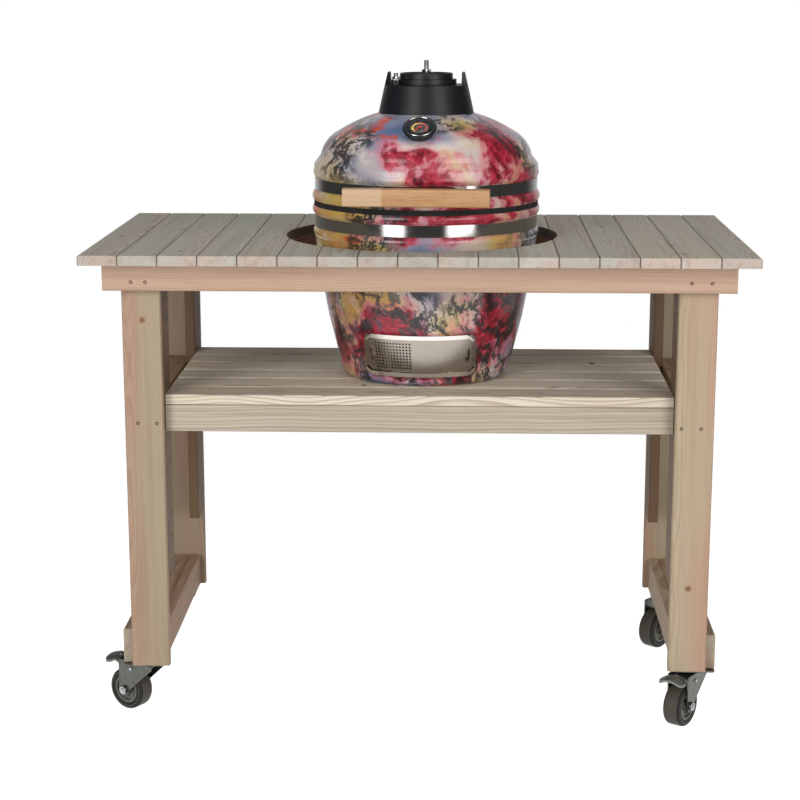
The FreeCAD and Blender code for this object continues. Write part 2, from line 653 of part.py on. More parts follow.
def base_shell():
    bead = BASE_BAND_LOW - 4
    band_top = BASE_BAND_LOW + BAND_HEIGHT
    rim_middle = (band_top + BASE_TOP) / 2
    inner_rim = BAND_SEAT_RADIUS - WALL
    # The foot's corner is one arc that leaves the flat bottom smoothly
    corner_reach = DRAFT_ZONE_LOW_RADIUS - FOOT_RADIUS
    corner = (corner_reach ** 2 + DRAFT_ZONE_LOW ** 2) / (2 * DRAFT_ZONE_LOW)
    half_turn = math.acos(1 - DRAFT_ZONE_LOW / corner) / 2
    foot_middle = (FOOT_RADIUS + corner * math.sin(half_turn), corner * (1 - math.cos(half_turn)))
    outline = [(FOOT_RADIUS, 0),
               (foot_middle, (DRAFT_ZONE_LOW_RADIUS, DRAFT_ZONE_LOW)),
               (DRAFT_ZONE_HIGH_RADIUS, DRAFT_ZONE_HIGH),
               ((BELLY_RADIUS, BELLY_HEIGHT), (BAND_SEAT_RADIUS + 2, bead - 14)),
               ((RIM_RADIUS - 1.5, bead - 4), (BAND_SEAT_RADIUS, BASE_BAND_LOW - 1)),
               (BAND_SEAT_RADIUS, band_top + 1),
               ((RIM_RADIUS, rim_middle), (RIM_RADIUS - 2, BASE_TOP)),
               (inner_rim, BASE_TOP),
               (inner_rim, bead),
               ((BELLY_RADIUS - WALL, BELLY_HEIGHT), (DRAFT_ZONE_HIGH_RADIUS - WALL, DRAFT_ZONE_HIGH)),
               (DRAFT_ZONE_LOW_RADIUS - WALL + 4, WALL + 10),
               (DRAFT_ZONE_LOW_RADIUS - WALL - 6, WALL), (0, WALL)]
    shell = turned((0, 0), outline)
    window = front_sector((DRAFT_ZONE_LOW_RADIUS - 3 * WALL, DRAFT_WINDOW_LOW),
                          [(RIM_RADIUS + WALL, DRAFT_WINDOW_LOW), (RIM_RADIUS + WALL, DRAFT_WINDOW_HIGH),
                           (DRAFT_ZONE_LOW_RADIUS - 3 * WALL, DRAFT_WINDOW_HIGH)],
                          -DRAFT_WINDOW_ANGLE, DRAFT_WINDOW_ANGLE)
    return shell.cut(window)


def lid_shell():
    band_top = LID_BAND_LOW + BAND_HEIGHT
    rim_middle = (LID_FOOT + LID_BAND_LOW) / 2
    inner_rim = BAND_SEAT_RADIUS - LID_WALL
    shoulder_low = band_top + 4
    shoulder_middle = (shoulder_low + SHOULDER_TOP) / 2
    dome_mid = ((DOME_FOOT_RADIUS + DOME_HAUNCH_RADIUS) / 2 + DOME_SAG,
                (DOME_FOOT_HEIGHT + DOME_HAUNCH_HEIGHT) / 2 + DOME_SAG)
    # The crown passes just under the foot of the vent cap
    crown_mid = (COLLAR_LOW_RADIUS, COLLAR_LOW - BODY_GAP)
    outline = [(RIM_RADIUS - 2, LID_FOOT),
               ((RIM_RADIUS, rim_middle), (BAND_SEAT_RADIUS, LID_BAND_LOW - 1)),
               (BAND_SEAT_RADIUS, band_top + 1),
               ((SHOULDER_RADIUS - 0.5, shoulder_low), (SHOULDER_RADIUS, shoulder_middle)),
               (SHOULDER_RADIUS - 1, SHOULDER_TOP),
               ((SHOULDER_RADIUS - 8, SHOULDER_TOP + 9), (DOME_FOOT_RADIUS, DOME_FOOT_HEIGHT)),
               (dome_mid, (DOME_HAUNCH_RADIUS, DOME_HAUNCH_HEIGHT)),
               (crown_mid, (CHIMNEY_RADIUS + 8, DOME_TOP)),
               (CHIMNEY_RADIUS, DOME_TOP), (CHIMNEY_RADIUS, DOME_TOP - LID_WALL),
               ((crown_mid[0] - 3, crown_mid[1] - LID_WALL),
                (DOME_HAUNCH_RADIUS - 9, DOME_HAUNCH_HEIGHT - 14)),
               ((dome_mid[0] - 14, dome_mid[1] - 9), (inner_rim - 3, SHOULDER_TOP)),
               (inner_rim, SHOULDER_TOP - LID_INNER_STEP), (inner_rim, LID_FOOT)]
    shell = turned(outline[0], outline[1:])
    stem_hole = cylinder(GAUGE_STEM_RADIUS + 1, Vector(0, 0, -GAUGE_STEM_LENGTH),
                         GAUGE_STEM_LENGTH + GAUGE_DEPTH)
    return shell.cut(on_gauge(stem_hole))


def band(low):
    # A stainless band with its two ends turned out and bolted together at the side
    high = low + BAND_HEIGHT
    lug_end = BAND_RADIUS + BAND_LUG_REACH
    hoop = ring(BAND_SEAT_RADIUS, BAND_RADIUS, low, high)
    lug = box(BAND_RADIUS - BAND_SHEET / 2, lug_end, -2 * BAND_SHEET, 2 * BAND_SHEET, low + 2, high - 2)
    slit = box(BAND_RADIUS - BAND_SHEET / 2, lug_end + 1, -BAND_SHEET, BAND_SHEET, low - 1, high + 1)
    bolt_at = Vector(BAND_RADIUS + BAND_LUG_REACH / 2, -BAND_BOLT_LENGTH / 2, (low + high) / 2)
    bolt = cylinder(BAND_BOLT_RADIUS, bolt_at, BAND_BOLT_LENGTH, Vector(0, 1, 0))
    hoop = hoop.fuse(lug).cut(slit).fuse(bolt)
    hoop.rotate(Vector(0, 0, 0), Vector(0, 0, 1), BAND_LUG_ANGLE)
    return hoop.removeSplitter()


def gasket(low):
    outer = RIM_RADIUS - 3
    return ring(outer - GASKET_WIDTH, outer, low, low + GASKET_THICKNESS)


def firebox():
    floor = WALL
    inner_low = FIREBOX_LOW_RADIUS - FIREBOX_WALL
    inner_high = FIREBOX_HIGH_RADIUS - FIREBOX_WALL
    ledge = CHARCOAL_GRATE_HEIGHT - GRATE_THICKNESS
    ledge_inner = inner_low - FIREBOX_WALL
    bowl = turned((ledge_inner, floor), [(FIREBOX_LOW_RADIUS, floor), (FIREBOX_HIGH_RADIUS, FIREBOX_TOP),
                                         (inner_high, FIREBOX_TOP), (inner_low + 4, ledge),
                                         (ledge_inner, ledge)])
    door = box(-ASH_DOOR_WIDTH / 2, ASH_DOOR_WIDTH / 2, -FIREBOX_HIGH_RADIUS - WALL, -ledge_inner / 2,
               floor + 4, floor + 4 + ASH_DOOR_HEIGHT)
    return bowl.cut(door)


def fire_ring():
    inner = FIREBOX_HIGH_RADIUS - FIREBOX_WALL
    return turned((inner, FIREBOX_TOP), [(FIREBOX_HIGH_RADIUS, FIREBOX_TOP),
                                         (FIREBOX_HIGH_RADIUS + 8, FIRE_RING_TOP),
                                         (inner + 8, FIRE_RING_TOP)])


def grate(radius, low, stagger):
    # A round plate with straight slots; a crossbar in the middle ties the bars together
    plate = cylinder(radius, Vector(0, 0, low), GRATE_THICKNESS)
    pitch = GRATE_BAR + GRATE_SLOT
    inside = radius - GRATE_RIM
    slots = []
    count = int(inside // pitch)
    for index in range(-count, count + 1):
        centre = index * pitch
        reach = inside * inside - (abs(centre) + GRATE_SLOT / 2) ** 2
        if reach <= (GRATE_BAR * 2) ** 2:
            continue
        reach = math.sqrt(reach)
        for side in (-1, 1):
            ends = sorted((side * GRATE_BAR / 2, side * reach))
            slots.append(box(centre - GRATE_SLOT / 2, centre + GRATE_SLOT / 2, ends[0], ends[1],
                             low - 1, low + GRATE_THICKNESS + 1))
    plate = plate.cut(group(slots))
    plate.rotate(Vector(0, 0, 0), Vector(0, 0, 1), stagger)
    return plate


def band_angle(x):
    return math.degrees(math.asin(x / BAND_RADIUS))


def handle():
    back = -(SHOULDER_RADIUS + HANDLE_STANDOFF)
    half = HANDLE_LENGTH / 2
    low = HANDLE_CENTRE_HEIGHT - HANDLE_HEIGHT / 2
    bar = board(-half, half, back - HANDLE_DEPTH, back, low, low + HANDLE_HEIGHT, Vector(1, 0, 0),
                HANDLE_EASE)
    write_grill("handle_bar", bar)
    brackets = []
    for side in (-1, 1):
        centre = side * HANDLE_BRACKET_SPACING / 2
        x0 = centre - HANDLE_BRACKET_WIDTH / 2
        x1 = centre + HANDLE_BRACKET_WIDTH / 2
        band_face = math.sqrt(BAND_RADIUS ** 2 - (abs(centre) - HANDLE_BRACKET_WIDTH / 2) ** 2)
        z0 = LID_BAND_LOW + 2
        z1 = LID_BAND_LOW + BAND_HEIGHT - 2
        half_sheet = HANDLE_BRACKET_SHEET / 2
        arm = box(centre - half_sheet, centre + half_sheet, back, -band_face + 6, z0, z1)
        pad = box(x0, x1, back, back + HANDLE_BRACKET_SHEET, z0, z1)
        foot = front_sector((BAND_RADIUS, z0), [(BAND_RADIUS + HANDLE_BRACKET_SHEET, z0),
                                                (BAND_RADIUS + HANDLE_BRACKET_SHEET, z1), (BAND_RADIUS, z1)],
                            band_angle(x0), band_angle(x1))
        inside = cylinder(BAND_RADIUS, Vector(0, 0, z0 - 1), BAND_HEIGHT)
        brackets.append(pad.fuse([arm.cut(inside), foot]).removeSplitter())
    write_grill("handle_brackets", group(brackets))


def hinge_bracket(band_low, half_width, eye_below):
    # A strap on the rear of a band and two ears that reach back to the pin
    band_high = band_low + BAND_HEIGHT
    strap_half = band_angle(half_width)
    strap = front_sector((BAND_RADIUS, band_low + 1), [(BAND_RADIUS + HINGE_SHEET, band_low + 1),
                                                       (BAND_RADIUS + HINGE_SHEET, band_high - 1),
                                                       (BAND_RADIUS, band_high - 1)],
                         REAR_ANGLE - strap_half, REAR_ANGLE + strap_half)
    clear = RIM_RADIUS + 3
    near = math.sqrt(BAND_RADIUS ** 2 - half_width ** 2) + HINGE_SHEET / 2
    tip = HINGE_PIN_HEIGHT
    if eye_below:
        corners = [(near, band_high - 1), (HINGE_PIN_BACK - 6, band_high - 1),
                   (HINGE_PIN_BACK + HINGE_EYE_RADIUS, tip), (HINGE_PIN_BACK - HINGE_EYE_RADIUS, tip),
                   (clear + 3, band_low), (near, band_low + 1)]
    else:
        corners = [(near, band_low + 1), (HINGE_PIN_BACK - 6, band_low + 1),
                   (HINGE_PIN_BACK + HINGE_EYE_RADIUS, tip), (HINGE_PIN_BACK - HINGE_EYE_RADIUS, tip),
                   (clear + 3, band_high), (near, band_high - 1)]
    ears = []
    for side in (-1, 1):
        outer = side * half_width
        inner = outer - side * HINGE_SHEET
        wire = Part.makePolygon([Vector(inner, y, z) for y, z in corners + corners[:1]])
        plate = Part.Face(wire).extrude(Vector(outer - inner, 0, 0))
        eye_at = Vector(min(inner, outer), HINGE_PIN_BACK, tip)
        eye = cylinder(HINGE_EYE_RADIUS, eye_at, HINGE_SHEET, Vector(1, 0, 0))
        ears.append(plate.fuse(eye))
    bore = HINGE_PIN_RADIUS + (RUNNING_FIT if eye_below else 0)
    hole = cylinder(bore, Vector(-half_width - 1, HINGE_PIN_BACK, tip), 2 * half_width + 2, Vector(1, 0, 0))
    return strap.fuse(ears).cut(hole).removeSplitter()


def hinge_pin():
    reach = HINGE_BASE_HALF_WIDTH + 4
    start = Vector(-reach, HINGE_PIN_BACK, HINGE_PIN_HEIGHT)
    return cylinder(HINGE_PIN_RADIUS, start, 2 * reach, Vector(1, 0, 0))


def hinge_springs():
    # Each coil is chained from half turns, so that its wire bends evenly
    start = HINGE_LID_HALF_WIDTH + BODY_GAP + SPRING_WIRE / 2
    stop = HINGE_BASE_HALF_WIDTH - HINGE_SHEET - BODY_GAP - SPRING_WIRE / 2
    pitch = (stop - start) / SPRING_TURNS
    coils = []
    for side in (-1, 1):

        def on_coil(turn):
            angle = 2 * math.pi * turn
            return Vector(side * (start + pitch * turn), HINGE_PIN_BACK + SPRING_RADIUS * math.cos(angle),
                          HINGE_PIN_HEIGHT + SPRING_RADIUS * math.sin(angle))

        arcs = []
        for quarter in range(4 * SPRING_TURNS):
            turn = quarter / 4
            arcs.append(Part.Arc(on_coil(turn), on_coil(turn + 0.125), on_coil(turn + 0.25)).toShape())
        path = Part.Wire(arcs)
        tangent = on_coil(0.01) - on_coil(0)
        section = Part.Wire(Part.makeCircle(SPRING_WIRE / 2, on_coil(0), tangent))
        coils.append(path.makePipeShell([section], True, False))
    print("hinge spring gap between turns", round(pitch - SPRING_WIRE, 2))
    return group(coils)


# Thermometer: drawn with its dial facing +Z, then leaned onto the dome's front

def on_gauge(shape):
    placed = shape.copy()
    placed.rotate(Vector(0, 0, 0), Vector(1, 0, 0), GAUGE_TILT)
    placed.translate(Vector(0, -GAUGE_SETBACK, GAUGE_HEIGHT))
    return placed


def thermometer():
    front = GAUGE_DEPTH
    dial_top = front - DIAL_DROP
    dial_low = dial_top - DIAL_SHEET
    case = turned((0, 0), [(GAUGE_RADIUS - 5, 0), (GAUGE_RADIUS - 1, front - 6), (GAUGE_RADIUS, front - 4),
                           ((GAUGE_RADIUS - 1, front - 1), (GAUGE_RADIUS - 3, front)),
                           (GAUGE_DIAL_RADIUS, front - 1), (GAUGE_DIAL_RADIUS, dial_low), (0, dial_low)])
    stem = cylinder(GAUGE_STEM_RADIUS, Vector(0, 0, -GAUGE_STEM_LENGTH), GAUGE_STEM_LENGTH + 1)
    write_grill("thermometer_case", on_gauge(case.fuse(stem).removeSplitter()))
    dial = cylinder(GAUGE_DIAL_RADIUS, Vector(0, 0, dial_low), DIAL_SHEET)
    spindle = cylinder(SPINDLE_RADIUS, Vector(0, 0, dial_low), front - dial_low - 1)
    write_grill("thermometer_dial", on_gauge(dial.fuse(spindle).removeSplitter()))
    half = NEEDLE_WIDTH / 2
    low = dial_top + BODY_GAP
    outline = [Vector(-half, -2 * NEEDLE_WIDTH, low), Vector(half, -2 * NEEDLE_WIDTH, low),
               Vector(half / 2, NEEDLE_LENGTH, low), Vector(-half / 2, NEEDLE_LENGTH, low)]
    pointer = Part.Face(Part.makePolygon(outline + outline[:1])).extrude(Vector(0, 0, 1))
    pointer = pointer.fuse(cylinder(NEEDLE_WIDTH, Vector(0, 0, low), 1.6))
    pointer = pointer.cut(cylinder(SPINDLE_RADIUS + RUNNING_FIT, Vector(0, 0, 0), 2 * front))
    pointer.rotate(Vector(0, 0, 0), Vector(0, 0, 1), NEEDLE_ANGLE)
    write_grill("thermometer_needle", on_gauge(pointer))


# Vent cap on the dome

def vent_collar():
    inner_low = COLLAR_LOW_RADIUS - COLLAR_WALL
    inner_top = COLLAR_TOP_RADIUS - COLLAR_WALL
    under_top = COLLAR_TOP - COLLAR_WALL
    sleeve = COLLAR_OPENING_RADIUS + COLLAR_WALL
    skirt = turned((inner_low, COLLAR_LOW + 2), [(COLLAR_LOW_RADIUS, COLLAR_LOW),
                                                 (COLLAR_TOP_RADIUS, COLLAR_TOP),
                                                 (COLLAR_OPENING_RADIUS, COLLAR_TOP),
                                                 (COLLAR_OPENING_RADIUS, DOME_TOP), (sleeve, DOME_TOP),
                                                 (sleeve, under_top), (inner_top, under_top)])
    slope = (COLLAR_LOW_RADIUS - COLLAR_TOP_RADIUS) / (COLLAR_TOP - COLLAR_LOW)
    tip_radius = COLLAR_TOP_RADIUS - slope * (POST_TOP - COLLAR_TOP)
    posts = []
    for middle in POST_PLACES:
        posts.append(front_sector((COLLAR_TOP_RADIUS - 11, COLLAR_TOP - 1),
                                  [(COLLAR_TOP_RADIUS, COLLAR_TOP - 1), (tip_radius, POST_TOP - 2),
                                   ((tip_radius - 2.5, POST_TOP), (tip_radius - 5, POST_TOP - 2)),
                                   (tip_radius - 5.5, COLLAR_TOP + 6)],
                                  middle - POST_ANGLE, middle + POST_ANGLE))
    pivot = cylinder(VENT_PIVOT_RADIUS, vent_pivot(COLLAR_TOP - COLLAR_WALL),
                     COLLAR_WALL + VENT_DISC_THICKNESS + 3)
    nut = hexagon(VENT_PIVOT_RADIUS + 3, vent_pivot(COLLAR_TOP + VENT_DISC_THICKNESS + 2 * BODY_GAP), 5)
    return skirt.fuse(posts + [pivot, nut]).removeSplitter()


def vent_pivot(height):
    angle = math.radians(VENT_PIVOT_ANGLE)
    return Vector(VENT_PIVOT_DISTANCE * math.cos(angle), VENT_PIVOT_DISTANCE * math.sin(angle), height)


def petals(low, high):
    holes = []
    for index in range(VENT_PETALS):
        angle = 2 * math.pi * index / VENT_PETALS
        centre = Vector(VENT_PETAL_CIRCLE * math.cos(angle), VENT_PETAL_CIRCLE * math.sin(angle), low)
        holes.append(cylinder(VENT_PETAL_RADIUS, centre, high - low))
    return group(holes)


def vent_disc():
    low = COLLAR_TOP + BODY_GAP
    high = low + VENT_DISC_THICKNESS
    disc = cylinder(VENT_DISC_RADIUS, Vector(0, 0, low), VENT_DISC_THICKNESS)
    ear = cylinder(VENT_EAR_RADIUS, vent_pivot(low), VENT_DISC_THICKNESS - 1)
    disc = disc.fuse(ear).cut(petals(low - 1, high + 1))
    disc = disc.cut(cylinder(VENT_PIVOT_RADIUS + RUNNING_FIT, vent_pivot(low - 1), VENT_DISC_THICKNESS + 2))
    stud = cylinder(STUD_RADIUS, Vector(0, 0, high - 1), STUD_TOP - high + 1)
    nut = hexagon(NUT_RADIUS, Vector(0, 0, high + VENT_ROTOR_THICKNESS + 2 * BODY_GAP), NUT_HEIGHT)
    return disc.fuse([stud, nut]).removeSplitter()


def vent_rotor():
    # An upturned dish whose petals uncover those of the disc when it is turned
    low = COLLAR_TOP + 2 * BODY_GAP + VENT_DISC_THICKNESS
    high = low + VENT_ROTOR_THICKNESS
    web = low + 4
    bore = STUD_RADIUS + RUNNING_FIT
    dish = turned((bore, low), [(VENT_ROTOR_RADIUS, low), (VENT_ROTOR_RADIUS, high - 1.5),
                                (VENT_ROTOR_RADIUS - 1.5, high), (VENT_ROTOR_RADIUS - 5, high),
                                (VENT_ROTOR_RADIUS - 6, web), (NUT_RADIUS + 4, web),
                                (NUT_RADIUS + 3, high), (bore, high)])
    holes = petals(low - 1, high + 1)
    holes.rotate(Vector(0, 0, 0), Vector(0, 0, 1), 180 / VENT_PETALS)
    return dish.cut(holes)


# Draft door: a frame with two sheets that slide round the body between its rails

SCREEN_IN = DRAFT_SHEET + DRAFT_LAYER_GAP
SCREEN_OUT = SCREEN_IN + DRAFT_SHEET
DOOR_IN = SCREEN_OUT + DRAFT_LAYER_GAP
DOOR_OUT = DOOR_IN + DRAFT_SHEET


def draft_frame():
    # A rolled plate, its outline a rounded rectangle when seen from the front
    plate = draft_layer(0, DRAFT_SHEET, DRAFT_FRAME_LOW, DRAFT_FRAME_HIGH,
                        -DRAFT_FRAME_ANGLE, DRAFT_FRAME_ANGLE)
    plate = plate.common(board(-DRAFT_FRAME_HALF_WIDTH, DRAFT_FRAME_HALF_WIDTH, -RIM_RADIUS, 0,
                               DRAFT_FRAME_LOW, DRAFT_FRAME_HIGH, Vector(0, 1, 0), DRAFT_FRAME_CORNER))
    window = draft_layer(-1, DRAFT_SHEET + 1, DRAFT_WINDOW_LOW, DRAFT_WINDOW_HIGH,
                         -DRAFT_WINDOW_ANGLE, DRAFT_WINDOW_ANGLE)
    plate = plate.cut(window)
    outside = DOOR_OUT + DRAFT_LAYER_GAP
    rail_end = DRAFT_FRAME_HALF_WIDTH - DRAFT_RAIL_SETBACK
    between = box(-rail_end, rail_end, -RIM_RADIUS, 0, DRAFT_FRAME_LOW, DRAFT_FRAME_HIGH)
    rails = []
    for low, high, lip_low, lip_high in (
            (DRAFT_FRAME_LOW, DRAFT_FRAME_LOW + DRAFT_SHEET,
             DRAFT_FRAME_LOW, DRAFT_FRAME_LOW + DRAFT_RAIL_DEPTH),
            (DRAFT_FRAME_HIGH - DRAFT_SHEET, DRAFT_FRAME_HIGH,
             DRAFT_FRAME_HIGH - DRAFT_RAIL_DEPTH, DRAFT_FRAME_HIGH)):
        web = draft_layer(0, outside + DRAFT_SHEET, low, high, -DRAFT_FRAME_ANGLE, DRAFT_FRAME_ANGLE)
        lip = draft_layer(outside, outside + DRAFT_SHEET, lip_low, lip_high,
                          -DRAFT_FRAME_ANGLE, DRAFT_FRAME_ANGLE)
        rails.append(web.common(between))
        rails.append(lip.common(between))
    for side in (-1, 1):
        for end in (-1, 1):
            rails.append(draft_ear(side, end, rail_end, outside))
    return plate.fuse(rails).removeSplitter()


def draft_ear(side, end, rail_end, outside):
    # A strip that runs on from a rail's lip, slants past the sheets and is bent down onto the plate
    middle = (DRAFT_FRAME_LOW + DRAFT_FRAME_HIGH) / 2
    edge = (DRAFT_FRAME_HIGH - DRAFT_FRAME_LOW) / 2
    foot = rail_end + DRAFT_EAR_REACH
    corners = [(rail_end - 1, edge), (rail_end - 1, edge - DRAFT_EAR_WIDTH),
               (foot, edge - DRAFT_EAR_DROP), (foot + 2 * DRAFT_SHEET, edge - DRAFT_EAR_DROP),
               (foot + 2 * DRAFT_SHEET, edge - DRAFT_EAR_DROP + DRAFT_EAR_WIDTH)]
    outline = slab([(side * x, middle + end * z) for x, z in corners], -RIM_RADIUS, 0)
    strip = draft_layer(outside, outside + DRAFT_SHEET, DRAFT_FRAME_LOW, DRAFT_FRAME_HIGH,
                        -DRAFT_FRAME_ANGLE, DRAFT_FRAME_ANGLE)
    wall = draft_layer(DRAFT_SHEET / 2, outside + DRAFT_SHEET, DRAFT_FRAME_LOW, DRAFT_FRAME_HIGH,
                       -DRAFT_FRAME_ANGLE, DRAFT_FRAME_ANGLE)
    stops = sorted((side * foot, side * (foot + 2 * DRAFT_SHEET)))
    wall = wall.common(box(stops[0], stops[1], -RIM_RADIUS, 0, DRAFT_FRAME_LOW, DRAFT_FRAME_HIGH))
    return strip.fuse(wall).common(outline)


def draft_lens(width, height, at_angle):
    # A lens-shaped prism that points outwards at the middle height of the window
    half = height / 2
    face = profile_face((0, -half), [((width / 2, 0), (0, half)), ((-width / 2, 0), (0, -half))])
    lens = face.extrude(Vector(0, -RIM_RADIUS, 0))
    lens.translate(Vector(0, 0, (DRAFT_WINDOW_LOW + DRAFT_WINDOW_HIGH) / 2))
    lens.rotate(Vector(0, 0, 0), Vector(0, 0, 1), at_angle)
    return lens


def draft_sheet(inner, from_angle, to_angle, pull_angle):
    # A sliding sheet: its outer end is straight and carries a finger hole with a pressed-up rim
    low = DRAFT_FRAME_LOW + DRAFT_SHEET + DRAFT_LAYER_GAP
    high = DRAFT_FRAME_HIGH - DRAFT_SHEET - DRAFT_LAYER_GAP
    reach = DRAFT_FRAME_HALF_WIDTH - DRAFT_SHEET_SETBACK
    sheet = draft_layer(inner, inner + DRAFT_SHEET, low, high, from_angle, to_angle)
    sheet = sheet.common(box(-reach, reach, -RIM_RADIUS, 0, low, high))
    hole = draft_lens(DRAFT_PULL_WIDTH, DRAFT_PULL_HEIGHT, pull_angle)
    rim = draft_layer(inner, inner + DRAFT_SHEET + DRAFT_PULL_DEPTH, DRAFT_WINDOW_LOW, DRAFT_WINDOW_HIGH,
                      pull_angle - DRAFT_WINDOW_ANGLE / 2, pull_angle + DRAFT_WINDOW_ANGLE / 2)
    rim = rim.common(draft_lens(DRAFT_PULL_WIDTH + 2 * DRAFT_PULL_RIM,
                                DRAFT_PULL_HEIGHT + 2 * DRAFT_PULL_RIM, pull_angle))
    return sheet.fuse(rim).cut(hole).removeSplitter()


def draft_door():
    return draft_sheet(DOOR_IN, DRAFT_DOOR_FROM, DRAFT_DOOR_TO, DRAFT_PULL_ANGLE)


def draft_screen():
    sheet = draft_sheet(SCREEN_IN, DRAFT_SCREEN_FROM, DRAFT_SCREEN_TO, -DRAFT_PULL_ANGLE)
    middle = (DRAFT_WINDOW_LOW + DRAFT_WINDOW_HIGH) / 2
    step = math.degrees(DRAFT_HOLE_PITCH / draft_radius(middle))
    holes = []
    for row in range(DRAFT_HOLE_ROWS):
        height = middle + (row - (DRAFT_HOLE_ROWS - 1) / 2) * DRAFT_HOLE_PITCH
        for column in range(DRAFT_HOLE_COLUMNS):
            hole = hexagon(DRAFT_HOLE_RADIUS, Vector(0, 0, draft_radius(height) - 4), 12)
            hole.rotate(Vector(0, 0, 0), Vector(1, 0, 0), 90)
            hole.translate(Vector(0, 0, height))
            hole.rotate(Vector(0, 0, 0), Vector(0, 0, 1), DRAFT_DOOR_FROM + (0.5 - column) * step)
            holes.append(hole)
    return sheet.cut(group(holes))


def grill():
    write_grill("base_shell", base_shell())
    write_grill("lid_shell", lid_shell())
    write_grill("base_band", band(BASE_BAND_LOW))
    write_grill("lid_band", band(LID_BAND_LOW))
    write_grill("base_gasket", gasket(BASE_TOP))
    write_grill("lid_gasket", gasket(LID_FOOT - GASKET_THICKNESS))
    write_grill("firebox", firebox())
    write_grill("fire_ring", fire_ring())
    write_grill("charcoal_grate", grate(FIREBOX_LOW_RADIUS - FIREBOX_WALL - GRATE_CLEARANCE,
                                        CHARCOAL_GRATE_HEIGHT - GRATE_THICKNESS, 90))
    write_grill("cooking_grate", grate(COOKING_GRATE_RADIUS, FIRE_RING_TOP, 0))
    handle()
    write_grill("hinge_base_bracket", hinge_bracket(BASE_BAND_LOW, HINGE_BASE_HALF_WIDTH, False))
    write_grill("hinge_lid_bracket", hinge_bracket(LID_BAND_LOW, HINGE_LID_HALF_WIDTH, True))
    write_grill("hinge_pin", hinge_pin())
    write_grill("hinge_springs", hinge_springs())
    thermometer()
    write_grill("vent_collar", vent_collar())
    write_grill("vent_disc", vent_disc())
    write_grill("vent_rotor", vent_rotor())
    write_grill("draft_frame", draft_frame())
    write_grill("draft_door", draft_door())
    write_grill("draft_screen", draft_screen())


top_planks()
top_frame()
legs()
shelf()
lower_rails()
casters()
grill()
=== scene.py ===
import json
import math
import bmesh
import bpy
from mathutils import Matrix, Vector


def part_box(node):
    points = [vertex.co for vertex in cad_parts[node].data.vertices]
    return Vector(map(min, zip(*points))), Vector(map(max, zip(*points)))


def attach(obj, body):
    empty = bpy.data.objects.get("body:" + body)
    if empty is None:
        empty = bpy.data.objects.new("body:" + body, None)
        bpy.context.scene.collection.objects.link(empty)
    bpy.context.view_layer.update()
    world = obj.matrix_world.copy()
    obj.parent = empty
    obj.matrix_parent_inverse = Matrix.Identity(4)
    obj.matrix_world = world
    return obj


# Looks of the kamado grill table, in metres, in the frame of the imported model.
# The wood, glaze and metals are solid textures in object space, so they stay put when a part moves.

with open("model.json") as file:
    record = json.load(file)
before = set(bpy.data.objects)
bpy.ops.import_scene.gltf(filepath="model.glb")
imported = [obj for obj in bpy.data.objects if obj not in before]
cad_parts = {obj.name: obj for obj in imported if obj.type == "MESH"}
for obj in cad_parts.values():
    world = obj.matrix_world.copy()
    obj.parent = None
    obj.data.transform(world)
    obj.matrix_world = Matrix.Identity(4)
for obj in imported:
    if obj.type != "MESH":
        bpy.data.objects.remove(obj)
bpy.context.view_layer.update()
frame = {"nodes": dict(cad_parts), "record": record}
nodes = frame["nodes"]

# Camera of the photograph
CAMERA_PLACE = Vector((0.0782, -3.6202, 1.3492))
CAMERA_PITCH_DOWN = 0.2135
CAMERA_YAW = 0.0331
CAMERA_LENS = 85.43
CAMERA_SENSOR = 36.0

# Lamps: two softboxes in front of the object and a weak one above it, with angles in degrees
SOFTBOX_DISTANCE = 3.3
SOFTBOX_ANGLE = {"left": -31, "right": 36}
SOFTBOX_WIDTH = {"left": 1.2, "right": 1.65}
SOFTBOX_HEIGHT = 2.5
SOFTBOX_CENTRE = 1.5
SOFTBOX_AIM = 1.3
SOFTBOX_POWER = 66
OVERHEAD_PLACE = (0, -0.4, 3.4)
OVERHEAD_AIM = (0, 0, 0.8)
OVERHEAD_SIZE = (2.4, 1.6)
OVERHEAD_POWER = 20

# Room: its strength for the eye and glass, for soft light, and for mirrors before and behind the object
ROOM_SEEN = 1.0
ROOM_LIGHT = 0.16
ROOM_DARK = 0.11
ROOM_BRIGHT = 0.75
ROOM_TURN = (0.6, 0.97)
FLOOR_RADIUS = 2.6
FLOOR_FADE = (0.9, 2.2)
FLOOR_GREY = 0.72
FLOOR_LIFT = 0.88
WHITE = (1, 1, 1, 1)

# Places in the CAD model that the finishes and the added pieces go by
GRILL_PLACE = Matrix.Translation((0.008, 0, 0.6234)) @ Matrix.Rotation(math.radians(-3), 4, "Z")
GAUGE_PLACE = GRILL_PLACE @ Matrix.Translation((0, -0.161, 0.471)) @ Matrix.Rotation(math.radians(34), 4, "X")
GRILL_MIDDLE = 0.30
GLAZE_CRIMSON_BAND = (0.90, 1.02)
GLAZE_CHARCOAL_FADE = (0.93, 0.68)
BAMBOO_STRIP = 0.0115
HANDLE_PALE_END = -0.066
DRAFT_FOOT = 0.158
DRAFT_SLOPE = 0.25
DRAFT_SHADOW_UNDER_LIP = (0.0022, 0.0048)
DRAFT_LIP_HIGHLIGHT = (0.0052, 0.0062)
HOLE_RADIUS = 0.2585
APRON_INNER_FACE = 0.275
APRON_FACE = -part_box("apron_front")[0].y
LEG_FACE = -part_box("leg_front_left")[0].y
CASTER_X = 0.515
CASTER_Y = 0.216
CASTER_YAW = {"front_left": 148, "front_right": 236, "rear_left": 200, "rear_right": 230}
CASTER_TRAIL = 0.042
WHEEL_AXLE = 0.040
TREAD_HALF_WIDTH = 0.0125
TREAD_EASE = 0.0007
PEDAL_RIDGE = 0.0034
PEDAL_PIN_TRAIL = 0.024
PEDAL_PIN_HEIGHT = 0.086

